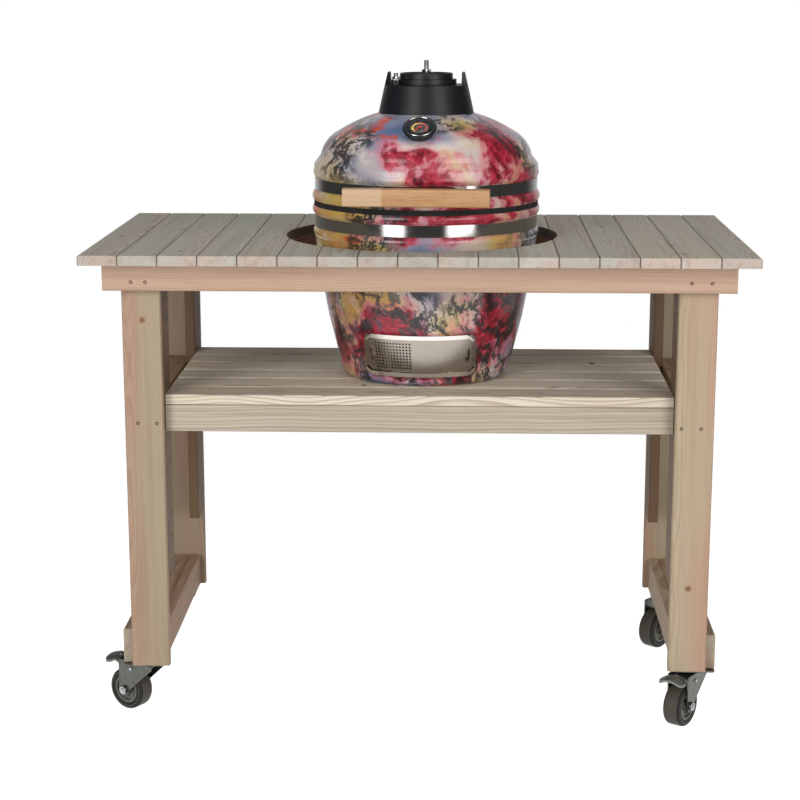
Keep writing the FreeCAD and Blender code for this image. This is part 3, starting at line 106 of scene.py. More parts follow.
# Small fasteners: a screw head's radius, a hexagon's width over its corners to that over its flats
SCREW_HEAD = 0.0032
HEXAGON = 1.1547

# Places of the small fasteners: by rows on the table, and on the grill by angle, radius and height
PLATE_SCREW_OFFSET = 0.029
PLATE_UNDERSIDE = 0.105
AXLE_NUT_FACE = 0.0215
TYRE_BEAD_FACE = 0.0168
PEDAL_PIN_FACE = 0.0230
VENT_STUD_NUT = 0.5710
VENT_STUD_THREAD = 0.5772
VENT_PIVOT_ANGLE = 208.5
VENT_PIVOT_RADIUS = 0.0625
VENT_PIVOT_WASHER = 0.5589
VENT_PIVOT_NUT = 0.5597
VENT_PIVOT_THREAD = 0.5653
GAUGE_RIM = 0.0128
BAND_HEIGHT = {"base": 0.29675, "lid": 0.36675}
BAND_BOLT_ANGLE = 60
BAND_BOLT_RADIUS = 0.2176
BAND_NUT_FACE = 0.0033
HINGE_PIN_PLACE = (0.235, 0.3303)
HINGE_PIN_END = 0.0436
HINGE_RIVET_RADIUS = 0.2144
HINGE_RIVET_TURN = {"base": 8.0, "lid": 2.6}
DIAL_MARKS = 24
DIAL_SCALE = (0.0112, 0.0142)
DIAL_MARK = (0.0150, 0.0168)

# Wood: boards and where their count starts, growth rings round a pith, knots, and painted shade on board
# edges, the hole's wall, inner faces and rear legs
BOARD_PITCH_TOP = 0.0706
BOARD_PITCH_SHELF = 0.080
RAIL_PITCH = 0.0333
POST_PITCH = 0.25
LEG_WIDTH = 0.07
BELOW_APRON = 0.2
BEYOND_TABLE = -1
REAR_LEG_SHADE = 0.8
RING_SPACING = 0.0042
PITH_SPREAD = 1.3
PITH_DEPTH = 0.012
PITH_DEPTH_SPREAD = 0.035
PITH_SLOPE = 0.05
PITH_WANDER = {"aside": 0.05, "deep": 0.07}
KNOTS_PER_METRE = 9
KNOT_SPREAD = 62
KNOT_BULGE = 2.4
KNOT_CORE = (0.0060, 0.0036)
KNOT_RIM = (0.0090, 0.005)
KNOT_RINGS = 620
SEAM_SHADE = 0.0022
HOLE_SHADE = (0.0012, 0.0005)
INNER_SHADE = 0.002


def rgb(red, green, blue):
    """A colour as it looks on a screen, 0 to 255, as the linear values a shader takes."""
    def linear(value):
        share = value / 255
        return share / 12.92 if share <= 0.04045 else ((share + 0.055) / 1.055) ** 2.4
    return linear(red), linear(green), linear(blue), 1.0


# Shader building

class Finish:
    """One procedural material, put together by short calls."""

    def __init__(self, name):
        self.material = bpy.data.materials.new(name)
        self.material.use_nodes = True
        self.tree = self.material.node_tree
        self.shader = self.tree.nodes["Principled BSDF"]
        coordinates = self.tree.nodes.new("ShaderNodeTexCoord")
        self.place = coordinates.outputs["Object"]
        self.normal = coordinates.outputs["Normal"]

    def feed(self, socket, value):
        if isinstance(value, bpy.types.NodeSocket):
            self.tree.links.new(value, socket)
        else:
            socket.default_value = value

    def node(self, kind, inputs, **settings):
        made = self.tree.nodes.new("ShaderNode" + kind)
        for key, value in settings.items():
            setattr(made, key, value)
        for key, value in inputs.items():
            self.feed(made.inputs[key], value)
        return made

    def math(self, operation, *values, clamp=False):
        made = self.node("Math", dict(enumerate(values)), operation=operation, use_clamp=clamp)
        return made.outputs[0]

    def add(self, *values):
        total = values[0]
        for value in values[1:]:
            total = self.math("ADD", total, value)
        return total

    def times(self, a, b):
        return self.math("MULTIPLY", a, b)

    def minus(self, a, b):
        return self.math("SUBTRACT", a, b)

    def parts(self, vector):
        return self.node("SeparateXYZ", {0: vector}).outputs

    def vector(self, x, y, z):
        return self.node("CombineXYZ", {0: x, 1: y, 2: z}).outputs[0]

    def scaled(self, vector, x, y, z):
        return self.node("VectorMath", {0: vector, 1: (x, y, z)}, operation="MULTIPLY").outputs[0]

    def moved(self, vector, other):
        return self.node("VectorMath", {0: vector, 1: other}, operation="ADD").outputs[0]

    def shifted(self, vector, x, y, z):
        return self.moved(vector, (x, y, z))

    def noise(self, vector, scale, detail=4.0, roughness=0.5, distortion=0.0):
        made = self.node("TexNoise", {"Vector": vector, "Scale": scale, "Detail": detail,
                                      "Roughness": roughness, "Distortion": distortion})
        return made.outputs["Fac"]

    def noise_vector(self, vector, scale, detail=2.0):
        made = self.node("TexNoise", {"Vector": vector, "Scale": scale, "Detail": detail})
        return self.shifted(made.outputs["Color"], -0.5, -0.5, -0.5)

    def step(self, value, low, high):
        """0 below low, 1 above high and smooth between; high below low turns it round."""
        made = self.node("MapRange", {0: value, 1: low, 2: high}, interpolation_type="SMOOTHSTEP")
        return made.outputs[0]

    def mix(self, share, first, second, blend="MIX"):
        """The first colour, turned into the second by a share; the sockets' numbers are those for colours."""
        made = self.node("Mix", {0: share, 6: first, 7: second}, data_type="RGBA", blend_type=blend)
        return made.outputs[2]

    def multiplied(self, share, colour, by):
        return self.mix(share, colour, by, "MULTIPLY")

    def ramp(self, value, *stops):
        made = self.tree.nodes.new("ShaderNodeValToRGB")
        elements = made.color_ramp.elements
        while len(elements) < len(stops):
            elements.new(0.5)
        for element, (position, colour) in zip(elements, stops):
            element.position = position
            element.color = colour
        self.feed(made.inputs[0], value)
        return made.outputs[0]

    def random(self, value):
        made = self.node("TexWhiteNoise", {"W": value}, noise_dimensions="1D")
        return self.node("SeparateColor", {0: made.outputs["Color"]}).outputs

    def along(self, vector, direction):
        """How far a place lies along a direction."""
        made = self.node("VectorMath", {0: vector, 1: tuple(direction)}, operation="DOT_PRODUCT")
        return made.outputs["Value"]

    def from_axis(self, x, y):
        return self.math("SQRT", self.add(self.times(x, x), self.times(y, y)))

    def between(self, value, low, high, soft):
        """1 from low to high, with soft edges."""
        above = self.step(value, low - soft, low + soft)
        below = self.step(value, high + soft, high - soft)
        return self.times(above, below)

    def bump(self, height, distance, strength=1.0):
        made = self.node("Bump", {"Height": height, "Distance": distance, "Strength": strength})
        self.tree.links.new(made.outputs[0], self.shader.inputs["Normal"])

    def surface(self, **values):
        for key, value in values.items():
            self.feed(self.shader.inputs[key.replace("_", " ")], value)
        return self.material


def wood(name, along, across, start, pitch, pale, warm, late, seed, knot_share=0.07, ring=RING_SPACING,
         end_tone=(0.92, 0.89, 0.86), face=0.0, seams=False, warm_side=0.0, hole=0.0, inner=0.0, knots=()):
    """Planed softwood boards side by side: growth rings round a pith beside each board, fibres and knots."""
    finish = Finish(name)
    axes = {"X": 0, "Y": 1, "Z": 2}
    through = ({"X", "Y", "Z"} - {along, across}).pop()
    coordinate = finish.parts(finish.place)
    length, width, depth = (coordinate[axes[axis]] for axis in (along, across, through))
    index = finish.math("FLOOR", finish.times(finish.minus(width, start), 1 / pitch))
    luck = finish.random(finish.add(index, seed))
    other = finish.random(finish.add(index, seed + 61.7))
    side = finish.minus(width, finish.add(finish.times(finish.add(index, 0.5), pitch), start))
    deep = finish.minus(depth, face)
    lane = finish.vector(length, finish.times(index, 7.3), seed)

    def grained(lengthwise, crosswise):
        """The place, scaled one way along the board and another way across it."""
        return finish.scaled(finish.place, *[lengthwise if axis == along else crosswise for axis in "XYZ"])

    # The pith wanders slowly along the board, which draws the long arches
    wander = finish.minus(finish.noise(finish.scaled(lane, 1.7, 1, 1), 1.0, 2), 0.5)
    pith_side = finish.add(finish.times(finish.minus(luck[0], 0.5), PITH_SPREAD * pitch),
                           finish.times(wander, PITH_WANDER["aside"]))
    slope = finish.times(finish.minus(other[0], 0.5), PITH_SLOPE)
    pith_deep = finish.add(finish.times(luck[1], PITH_DEPTH_SPREAD), PITH_DEPTH, finish.times(length, slope),
                           finish.times(wander, PITH_WANDER["deep"]))
    flat = finish.vector(finish.minus(side, pith_side), finish.add(deep, pith_deep), 0)
    distance = finish.node("VectorMath", {0: flat}, operation="LENGTH").outputs["Value"]

    # Knots pass straight through a board and push its rings aside; they stand at given places or by chance
    if knots:
        present = 1.0
        from_knot = 1.0
        for at_length, at_width in knots:
            gap = finish.from_axis(finish.minus(length, at_length), finish.minus(width, at_width))
            from_knot = finish.math("MINIMUM", from_knot, gap)
    else:
        knot_cells = finish.vector(finish.times(length, KNOTS_PER_METRE),
                                   finish.add(finish.times(width, KNOTS_PER_METRE), seed), 0)
        cells = finish.node("TexVoronoi", {"Vector": knot_cells, "Scale": 1.0}, voronoi_dimensions="2D")
        chance = finish.node("SeparateColor", {0: cells.outputs["Color"]}).outputs[0]
        present = finish.math("LESS_THAN", chance, knot_share)
        from_knot = finish.times(cells.outputs["Distance"], 1 / KNOTS_PER_METRE)
    near = finish.math("POWER", math.e,
                       finish.times(finish.math("POWER", finish.times(from_knot, KNOT_SPREAD), 2), -1))
    bulge = finish.times(finish.times(near, present), KNOT_BULGE)
    ripple = finish.times(finish.noise(grained(6, 30), 1.0, 3), 0.55)
    rings = finish.add(finish.times(distance, 1 / ring), bulge, ripple)
    uneven = finish.noise(finish.vector(finish.times(distance, 90), finish.add(index, seed), 0), 1, 1)
    phase = finish.math("FRACT", finish.add(rings, finish.times(uneven, 2.2)))
    latewood = finish.ramp(phase, (0.0, (0.05, 0.05, 0.05, 1)), (0.45, (0.12, 0.12, 0.12, 1)),
                           (0.86, (0.9, 0.9, 0.9, 1)), (0.93, WHITE), (1.0, (0.05, 0.05, 0.05, 1)))

    # Fine fibres, narrow stains and broad changes between the two tones
    fibre = finish.noise(grained(9, 900), 1.0, 3, 0.6)
    stain = finish.noise(finish.moved(grained(2.2, 75), finish.vector(seed, index, 0)), 1.0, 3)
    heart = finish.noise(finish.moved(grained(1.3, 16), finish.vector(index, seed, 0)), 1.0, 2)
    lean = finish.times(side, warm_side / pitch)
    warmth = finish.step(finish.add(heart, finish.times(finish.minus(luck[2], 0.5), 0.25), lean), 0.36, 0.64)
    colour = finish.mix(warmth, pale, warm)
    strength = finish.times(latewood, finish.add(0.34, finish.times(other[1], 0.4)))
    colour = finish.mix(strength, colour, late)
    colour = finish.multiplied(finish.step(stain, 0.45, 0.75), colour, (0.86, 0.82, 0.78, 1))
    colour = finish.multiplied(finish.step(fibre, 0.5, 0.8), colour, (0.84, 0.82, 0.8, 1))
    board_tone = finish.add(0.9, finish.times(other[2], 0.16))
    colour = finish.multiplied(1.0, colour, finish.vector(board_tone, board_tone, board_tone))

    heartwood = finish.times(finish.step(from_knot, *KNOT_CORE), finish.times(present, 0.85))
    rim = finish.times(finish.times(finish.step(from_knot, *KNOT_RIM), present), 0.6)
    knot_ring = finish.math("FRACT", finish.times(from_knot, KNOT_RINGS))
    knot_colour = finish.mix(knot_ring, rgb(132, 94, 66), rgb(98, 66, 46))
    colour = finish.mix(rim, colour, rgb(160, 116, 80))
    colour = finish.mix(heartwood, colour, knot_colour)

    # End grain has its own tone; board edges by the seams, faces turned inwards and the wall of the hole are
    # darkened as painted shade
    facing = finish.math("ABSOLUTE", finish.parts(finish.normal)[axes[along]])
    cut = finish.step(facing, 0.8, 0.97)
    colour = finish.mix(cut, colour, finish.multiplied(1.0, colour, (*end_tone, 1)))
    if seams:
        # Painted shade on the rounded edges beside the seams between boards
        edge = finish.step(finish.math("ABSOLUTE", side), pitch / 2 - SEAM_SHADE, pitch / 2 - SEAM_SHADE / 4)
        sideways = finish.math("ABSOLUTE", finish.parts(finish.normal)[axes[across]])
        edge = finish.times(edge, finish.step(sideways, 0.9, 0.7))
        colour = finish.multiplied(edge, colour, (0.36, 0.31, 0.28, 1))
    if inner:
        # Painted shade on the faces turned inwards, nearer the middle than the given limit
        painted_inner_shade = finish.step(finish.math("ABSOLUTE", coordinate[1]), inner + INNER_SHADE, inner - INNER_SHADE)
        colour = finish.multiplied(painted_inner_shade, colour, (0.42, 0.32, 0.28, 1))
    if hole:
        # Painted shade on the upright wall of the hole for the grill
        away = finish.from_axis(coordinate[0], coordinate[1])
        inside = finish.step(away, *[hole + margin for margin in HOLE_SHADE])
        upright = finish.step(finish.math("ABSOLUTE", finish.parts(finish.normal)[2]), 0.9, 0.6)
        colour = finish.multiplied(finish.times(inside, upright), colour, (0.30, 0.20, 0.16, 1))
    height = finish.add(finish.times(fibre, 0.5), finish.times(latewood, 0.25), finish.times(stain, 0.2))
    finish.bump(height, 0.0005, 0.5)
    rough = finish.add(0.56, finish.times(fibre, 0.14))
    return finish.surface(Base_Color=colour, Roughness=rough, Specular_IOR_Level=0.32)


def bamboo():
    """Laminated strips with short dark fibre dashes and a paler stretch, lightly oiled."""
    finish = Finish("bamboo")
    coordinate = finish.parts(finish.place)
    across = finish.times(coordinate[2], 1 / BAMBOO_STRIP)
    index = finish.math("FLOOR", across)
    luck = finish.random(finish.add(index, 4))
    fibre = finish.noise(finish.scaled(finish.place, 11, 700, 700), 1.0, 4, 0.65)
    broad = finish.noise(finish.scaled(finish.place, 5, 60, 60), 1.0, 3)
    colour = finish.mix(finish.step(broad, 0.3, 0.7), rgb(183, 142, 99), rgb(164, 117, 73))
    colour = finish.mix(finish.times(luck[0], 0.6), colour, rgb(204, 166, 124))
    colour = finish.multiplied(finish.times(luck[1], 0.5), colour, (0.84, 0.72, 0.58, 1))
    colour = finish.multiplied(finish.step(fibre, 0.50, 0.68), colour, (0.72, 0.62, 0.5, 1))
    pale = finish.step(coordinate[0], HANDLE_PALE_END + 0.002, HANDLE_PALE_END - 0.002)
    colour = finish.mix(finish.times(pale, 0.7), colour, rgb(196, 168, 138))
    edge = finish.math("ABSOLUTE", finish.minus(finish.math("FRACT", across), 0.5))
    colour = finish.multiplied(finish.step(edge, 0.475, 0.497), colour, (0.62, 0.5, 0.4, 1))
    finish.bump(fibre, 0.0003, 0.4)
    return finish.surface(Base_Color=colour, Roughness=finish.add(0.38, finish.times(fibre, 0.15)))


def glaze():
    """Glossy fired glaze with a marbled design: soft warm clouds, crimson drifts and charcoal veins."""
    finish = Finish("glaze")

    # Two drifts stir the place, a broad one and a ragged one, so that no cloud has a straight side
    drift = finish.noise_vector(finish.shifted(finish.place, 3.1, 0.4, 1.7), 5.0)
    swirl = finish.moved(finish.place, finish.scaled(drift, 0.16, 0.16, 0.10))
    fine_drift = finish.noise_vector(finish.place, 42.0, 3.0)
    ragged = finish.moved(swirl, finish.scaled(fine_drift, 0.022, 0.022, 0.034))

    # Clouds of blue, cream and ochre, with orange and pale patches over them
    ground = finish.noise(finish.shifted(swirl, 1.3, 2.2, 0.6), 5.5, 2)
    colour = finish.ramp(ground, (0.30, rgb(92, 110, 150)), (0.41, rgb(142, 146, 166)),
                         (0.50, rgb(196, 178, 166)), (0.60, rgb(188, 164, 92)), (0.74, rgb(196, 116, 52)))
    warm = finish.noise(finish.shifted(ragged, 7.7, 1.2, 3.4), 11, 4, 0.6)
    colour = finish.mix(finish.step(warm, 0.58, 0.70), colour, rgb(196, 62, 24))
    pale = finish.noise(finish.shifted(ragged, 1.9, 6.2, 0.4), 16, 5, 0.66)
    colour = finish.mix(finish.times(finish.step(pale, 0.56, 0.68), 0.6), colour, rgb(214, 206, 200))

    # Crimson with a pink halo, more of it by the rim of the table
    crimson = finish.noise(finish.shifted(ragged, 0.2, 5.1, 2.9), 6.5, 5, 0.62)
    rim = finish.times(finish.between(finish.parts(finish.place)[2], *GLAZE_CRIMSON_BAND, 0.015), 0.04)
    crimson = finish.add(crimson, rim)
    halo = finish.step(crimson, 0.455, 0.555)
    core = finish.step(crimson, 0.525, 0.58)
    blotch = finish.noise(finish.shifted(ragged, 2.4, 0.3, 4.8), 38, 4, 0.7)
    red = finish.ramp(blotch, (0.35, rgb(58, 10, 22)), (0.5, rgb(146, 18, 40)), (0.64, rgb(188, 58, 80)))
    colour = finish.mix(finish.times(halo, 0.8), colour, rgb(196, 104, 122))
    colour = finish.mix(core, colour, red)

    # Charcoal veins and dabs, more of them low on the body
    vein = finish.noise(finish.shifted(ragged, 4.2, 3.3, 0.9), 9, 6, 0.68)
    ridge = finish.math("ABSOLUTE", finish.minus(vein, 0.5))
    low = finish.step(finish.parts(finish.place)[2], *GLAZE_CHARCOAL_FADE)
    field = finish.add(finish.noise(finish.shifted(swirl, 9.1, 0.7, 5.5), 5, 2), finish.times(low, 0.10))
    where = finish.step(field, 0.42, 0.53)
    ink = finish.times(finish.step(ridge, 0.05, 0.01), where)
    strokes = finish.noise(finish.scaled(ragged, 1, 1, 0.45), 58, 4, 0.72)
    dabs = finish.times(finish.step(strokes, 0.50, 0.58), where)
    grey = finish.mix(blotch, rgb(14, 16, 20), rgb(84, 90, 96))
    colour = finish.mix(finish.times(dabs, 0.88), colour, grey)
    colour = finish.mix(finish.times(ink, 0.92), colour, rgb(22, 22, 26))

    # The inside is bare ceramic: its faces look towards the middle of the body
    middle = GRILL_PLACE @ Vector((0, 0, GRILL_MIDDLE))
    outwards = finish.node("VectorMath", {0: finish.shifted(finish.place, *(-middle)), 1: finish.normal},
                           operation="DOT_PRODUCT").outputs["Value"]
    bare = finish.step(outwards, 0.01, -0.02)
    crumbs = finish.noise(finish.place, 420, 4, 0.65)
    smoke = finish.noise(finish.place, 9, 3)
    clay = finish.mix(finish.step(smoke, 0.35, 0.7), rgb(150, 134, 112), rgb(96, 86, 76))
    clay = finish.multiplied(finish.step(crumbs, 0.5, 0.75), clay, (0.8, 0.78, 0.75, 1))
    colour = finish.mix(bare, colour, clay)

    wave = finish.noise(finish.place, 26, 2)
    pits = finish.noise(finish.place, 240, 2)
    relief = finish.add(wave, finish.times(core, 0.1), finish.times(pits, 0.06),
                        finish.times(finish.times(crumbs, bare), 0.5))
    finish.bump(relief, 0.0012, 0.3)
    rough = finish.add(0.34, finish.times(bare, 0.5))
    return finish.surface(Base_Color=colour, Roughness=rough, Specular_IOR_Level=0.4,
                          Coat_Weight=finish.times(finish.minus(1.0, bare), 0.35), Coat_Roughness=0.1)


def brushed_steel(name, tone, rough, turned=True, rails=False):
    """Stainless sheet, brushed round the vertical axis if turned and along X if not; with rails, a painted
    highlight on their lips and a painted shadow under them.
    """
    finish = Finish(name)
    stretch = (18, 18, 2600) if turned else (2600, 18, 18)
    line = finish.noise(finish.scaled(finish.place, *stretch), 1.0, 2, 0.6)
    cloud = finish.noise(finish.place, 30, 3)
    colour = finish.mix(line, rgb(*[0.93 * c for c in tone]), rgb(*tone))
    colour = finish.multiplied(finish.step(cloud, 0.55, 0.8), colour, (0.9, 0.88, 0.86, 1))
    if rails:
        coordinate = finish.parts(finish.shifted(finish.place, *(-GRILL_PLACE.translation)))
        wall = finish.add(finish.times(coordinate[2], DRAFT_SLOPE), DRAFT_FOOT)
        proud = finish.minus(finish.from_axis(coordinate[0], coordinate[1]), wall)
        # Painted shadow under the lips of the rails, and a painted highlight on the lips
        lip_shadow = finish.between(proud, *DRAFT_SHADOW_UNDER_LIP, 0.0004)
        colour = finish.multiplied(lip_shadow, colour, (0.32, 0.30, 0.28, 1))
        colour = finish.mix(finish.step(proud, *DRAFT_LIP_HIGHLIGHT), colour, rgb(226, 222, 216))
    finish.bump(line, 0.0001, 0.35)
    uneven = finish.add(rough, finish.times(cloud, 0.06))
    return finish.surface(Base_Color=colour, Metallic=1.0, Roughness=uneven)


def cast_black():
    """Matt black coating with a fine grain."""
    finish = Finish("cast_black")
    grain = finish.noise(finish.place, 900, 3, 0.6)
    cloud = finish.noise(finish.place, 22, 3)
    colour = finish.mix(cloud, rgb(10, 13, 16), rgb(18, 21, 26))
    finish.bump(grain, 0.0003, 0.25)
    return finish.surface(Base_Color=colour, Roughness=finish.add(0.36, finish.times(grain, 0.16)),
                          Specular_IOR_Level=0.36)


def dial_face():
    """Black dial with a scale that runs from yellow to red and fine pale marks beside it."""
    finish = Finish("dial_black")
    place = finish.shifted(finish.place, *(-GAUGE_PLACE.translation))
    across = finish.along(place, GAUGE_PLACE.to_3x3().col[0])
    up = finish.along(place, GAUGE_PLACE.to_3x3().col[1])
    away = finish.from_axis(across, up)
    turn = finish.times(finish.math("ARCTAN2", across, up), 1 / math.pi)
    warm = finish.ramp(finish.add(0.5, finish.times(turn, 0.5)), (0.12, rgb(206, 190, 60)),
                       (0.42, rgb(214, 170, 44)), (0.5, rgb(214, 106, 36)), (0.62, rgb(190, 30, 30)),
                       (0.9, rgb(150, 16, 24)))
    beside = finish.math("ABSOLUTE", turn)
    scale = finish.times(finish.between(away, *DIAL_SCALE, 0.0003), finish.step(beside, 0.80, 0.78))
    part = finish.math("FRACT", finish.times(turn, DIAL_MARKS))
    mark = finish.times(finish.between(part, 0.44, 0.56, 0.02), finish.between(away, *DIAL_MARK, 0.0002))
    mark = finish.times(mark, finish.step(beside, 0.82, 0.80))
    grain = finish.noise(finish.place, 900, 3)
    colour = finish.mix(grain, rgb(10, 10, 11), rgb(20, 20, 21))
    colour = finish.mix(scale, colour, warm)
    colour = finish.mix(mark, colour, rgb(186, 184, 176))
    finish.bump(grain, 0.0001, 0.3)
    return finish.surface(Base_Color=colour, Roughness=0.5)


def gauge_glass():
    """Clear glass with faint smears."""
    finish = Finish("gauge_glass")
    smear = finish.noise(finish.place, 60, 3)
    return finish.surface(Base_Color=WHITE, Roughness=finish.times(smear, 0.06), Transmission_Weight=1.0,
                          IOR=1.22)


def ridged_steel():
    """Zinc-plated pedal sheet with shallow ridges across it."""
    finish = Finish("pedal_steel")
    coordinate = finish.parts(finish.place)
    x = finish.minus(finish.math("ABSOLUTE", coordinate[0]), CASTER_X)
    y = finish.add(coordinate[1], CASTER_Y)
    ridge = finish.math("SINE", finish.times(finish.from_axis(x, y), 2 * math.pi / PEDAL_RIDGE))
    grain = finish.noise(finish.place, 300, 4, 0.6)
    colour = finish.mix(grain, rgb(104, 108, 105), rgb(134, 136, 130))
    # Painted shade in the hollows between the ridges
    colour = finish.multiplied(finish.step(ridge, 0.2, -0.8), colour, (0.6, 0.6, 0.6, 1))
    finish.bump(finish.add(ridge, finish.times(grain, 0.3)), 0.0003, 0.8)
    rough = finish.add(0.3, finish.times(grain, 0.14))
    return finish.surface(Base_Color=colour, Metallic=0.85, Roughness=rough)


def swivel(corner):
    """A caster's swivel axis on the floor, and the directions ahead of it and along its axle."""
    turn = math.radians(CASTER_YAW[corner])
    ahead = Vector((math.cos(turn), math.sin(turn), 0))
    foot = Vector((CASTER_X if corner.endswith("right") else -CASTER_X,
                   CASTER_Y if corner.startswith("rear") else -CASTER_Y, 0))
    return foot, ahead, Vector((-ahead.y, ahead.x, 0))


def tyre(corner):
    """Rubber with a dusty brown tread between sides darkened as painted shade."""
    finish = Finish("tyre_" + corner)
    foot, ahead, axle = swivel(corner)
    centre = foot + Vector((0, 0, WHEEL_AXLE)) + CASTER_TRAIL * ahead
    beside = finish.math("ABSOLUTE", finish.along(finish.shifted(finish.place, *(-centre)), axle))
    grain = finish.noise(finish.place, 500, 4, 0.65)
    dust = finish.noise(finish.place, 60, 3)
    tread = finish.mix(dust, rgb(64, 58, 51), rgb(78, 71, 62))
    # The tyre's sides take a darker colour: painted shade
    side = finish.mix(grain, rgb(12, 12, 10), rgb(24, 23, 20))
    off_tread = finish.step(beside, TREAD_HALF_WIDTH - TREAD_EASE, TREAD_HALF_WIDTH + TREAD_EASE)
    colour = finish.mix(off_tread, tread, side)
    finish.bump(grain, 0.0004, 0.4)
    return finish.surface(Base_Color=colour, Roughness=finish.add(0.5, finish.times(grain, 0.15)),
                          Specular_IOR_Level=0.28)


def screw_steel():
    """Screw head darkened towards its rim, as painted shade of the countersink round it."""
    finish = Finish("screw_steel")
    coordinate = finish.parts(finish.place)
    away = finish.from_axis(coordinate[0], coordinate[1])
    grain = finish.noise(finish.place, 1200, 3)
    steel = finish.mix(grain, rgb(44, 40, 36), rgb(80, 74, 66))
    # Painted shade of the countersink at the head's rim
    colour = finish.mix(finish.step(away, SCREW_HEAD - 0.0006, SCREW_HEAD - 0.0001), steel, rgb(40, 30, 22))
    finish.bump(grain, 0.0001, 0.4)
    rough = finish.add(0.4, finish.times(grain, 0.2))
    return finish.surface(Base_Color=colour, Metallic=0.6, Roughness=rough)


def speckled(name, first, second, scale, rough, metallic=0.0, bump=0.0004, strength=0.4):
    """Two tones of one colour in fine grains over broad patches."""
    finish = Finish(name)
    grain = finish.noise(finish.place, scale, 4, 0.65)
    cloud = finish.noise(finish.place, scale / 22, 3)
    colour = finish.mix(finish.step(finish.add(grain, finish.times(cloud, 0.6)), 0.55, 1.0), first, second)
    finish.bump(grain, bump, strength)
    uneven = finish.add(rough, finish.times(grain, 0.15))
    return finish.surface(Base_Color=colour, Metallic=metallic, Roughness=uneven)


# Finishes, by node where a piece has its own and else by the slot that the record names

TOP_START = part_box("top_planks")[0].x
SHELF_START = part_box("shelf_boards")[0].y
TOP_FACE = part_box("top_planks")[1].z
SHELF_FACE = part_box("shelf_boards")[1].z
APRON_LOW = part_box("apron_front")[0].z

PALE = rgb(170, 155, 130)
PINK = rgb(174, 144, 123)
LATE = rgb(146, 112, 86)
LEG_WARMTH = {"leg_front_left": -0.7, "leg_front_right": 0.5, "leg_rear_left": 0.3, "leg_rear_right": -0.3}
LEG_KNOTS = {"leg_front_left": [(0.765, -0.498)], "leg_front_right": [(0.269, 0.4975)]}
TOP_KNOTS = [(-0.053, -0.568), (0.058, -0.470), (-0.259, -0.427), (0.123, 0.353), (-0.268, 0.471)]

top_wood = wood("top_wood", "Y", "X", TOP_START, BOARD_PITCH_TOP,
                pale=rgb(178, 178, 166), warm=rgb(184, 172, 159), late=rgb(148, 138, 122), seed=3.0,
                end_tone=(1.06, 1.0, 1.02), face=TOP_FACE, seams=True, hole=HOLE_RADIUS, knots=TOP_KNOTS)
shelf_wood = wood("shelf_wood", "X", "Y", SHELF_START, BOARD_PITCH_SHELF,
                  pale=rgb(224, 215, 197), warm=rgb(222, 208, 186), late=rgb(164, 140, 112), seed=11.0,
                  face=SHELF_FACE, knot_share=0.06, seams=True)
rail_wood = wood("rail_wood", "X", "Z", APRON_LOW - BELOW_APRON, BELOW_APRON,
                 pale=rgb(190, 180, 163), warm=rgb(184, 174, 156), late=rgb(146, 132, 108), seed=5.0,
                 face=-0.24, knot_share=0.0, ring=0.0062)
apron_wood = wood("apron_wood", "X", "Z", APRON_LOW - BELOW_APRON, 2 * BELOW_APRON,
                  pale=rgb(196, 168, 150), warm=rgb(188, 160, 138), late=rgb(162, 126, 102), seed=23.0,
                  face=-0.28, knot_share=0.03, ring=0.0030, inner=APRON_INNER_FACE)
side_wood = wood("side_wood", "Y", "X", BEYOND_TABLE, RAIL_PITCH,
                 pale=rgb(176, 154, 128), warm=rgb(168, 136, 112), late=rgb(124, 88, 64), seed=31.0,
                 face=0.14, end_tone=(1.15, 1.35, 1.55), knot_share=0.05)
# The leg side boards take darkened tones: painted shade
post_wood = wood("post_wood", "Z", "Y", BEYOND_TABLE, POST_PITCH,
                 pale=rgb(108, 84, 60), warm=rgb(102, 76, 54), late=rgb(74, 52, 36), seed=41.0,
                 face=0.46, ring=0.003)

NODE_FINISH = {}
for name in ("top_planks", "notched_planks", "short_planks_front", "short_planks_rear"):
    NODE_FINISH[name] = top_wood
for name in ("apron_front", "apron_rear"):
    NODE_FINISH[name] = apron_wood
for name in ("top_side_rails", "shelf_bearers", "shelf_cleats", "lower_rails_left", "lower_rails_right"):
    NODE_FINISH[name] = side_wood
NODE_FINISH["shelf_boards"] = shelf_wood
NODE_FINISH["shelf_rails"] = rail_wood
NODE_FINISH["leg_side_boards"] = post_wood
for order, name in enumerate(("leg_front_left", "leg_front_right", "leg_rear_left", "leg_rear_right")):
    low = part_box(name)[0]
    # The rear legs take darker tones: painted shade
    shade = REAR_LEG_SHADE if "rear" in name else 1.0
    tones = [tuple(shade * value for value in tone[:3]) + (1,) for tone in (PALE, PINK, LATE)]
    NODE_FINISH[name] = wood(name + "_wood", "Z", "X", low.x, LEG_WIDTH, *tones, seed=51.0 + 13 * order,
                             face=low.y, knot_share=0.12, ring=0.0031, warm_side=LEG_WARMTH[name],
                             knots=LEG_KNOTS.get(name, ()))

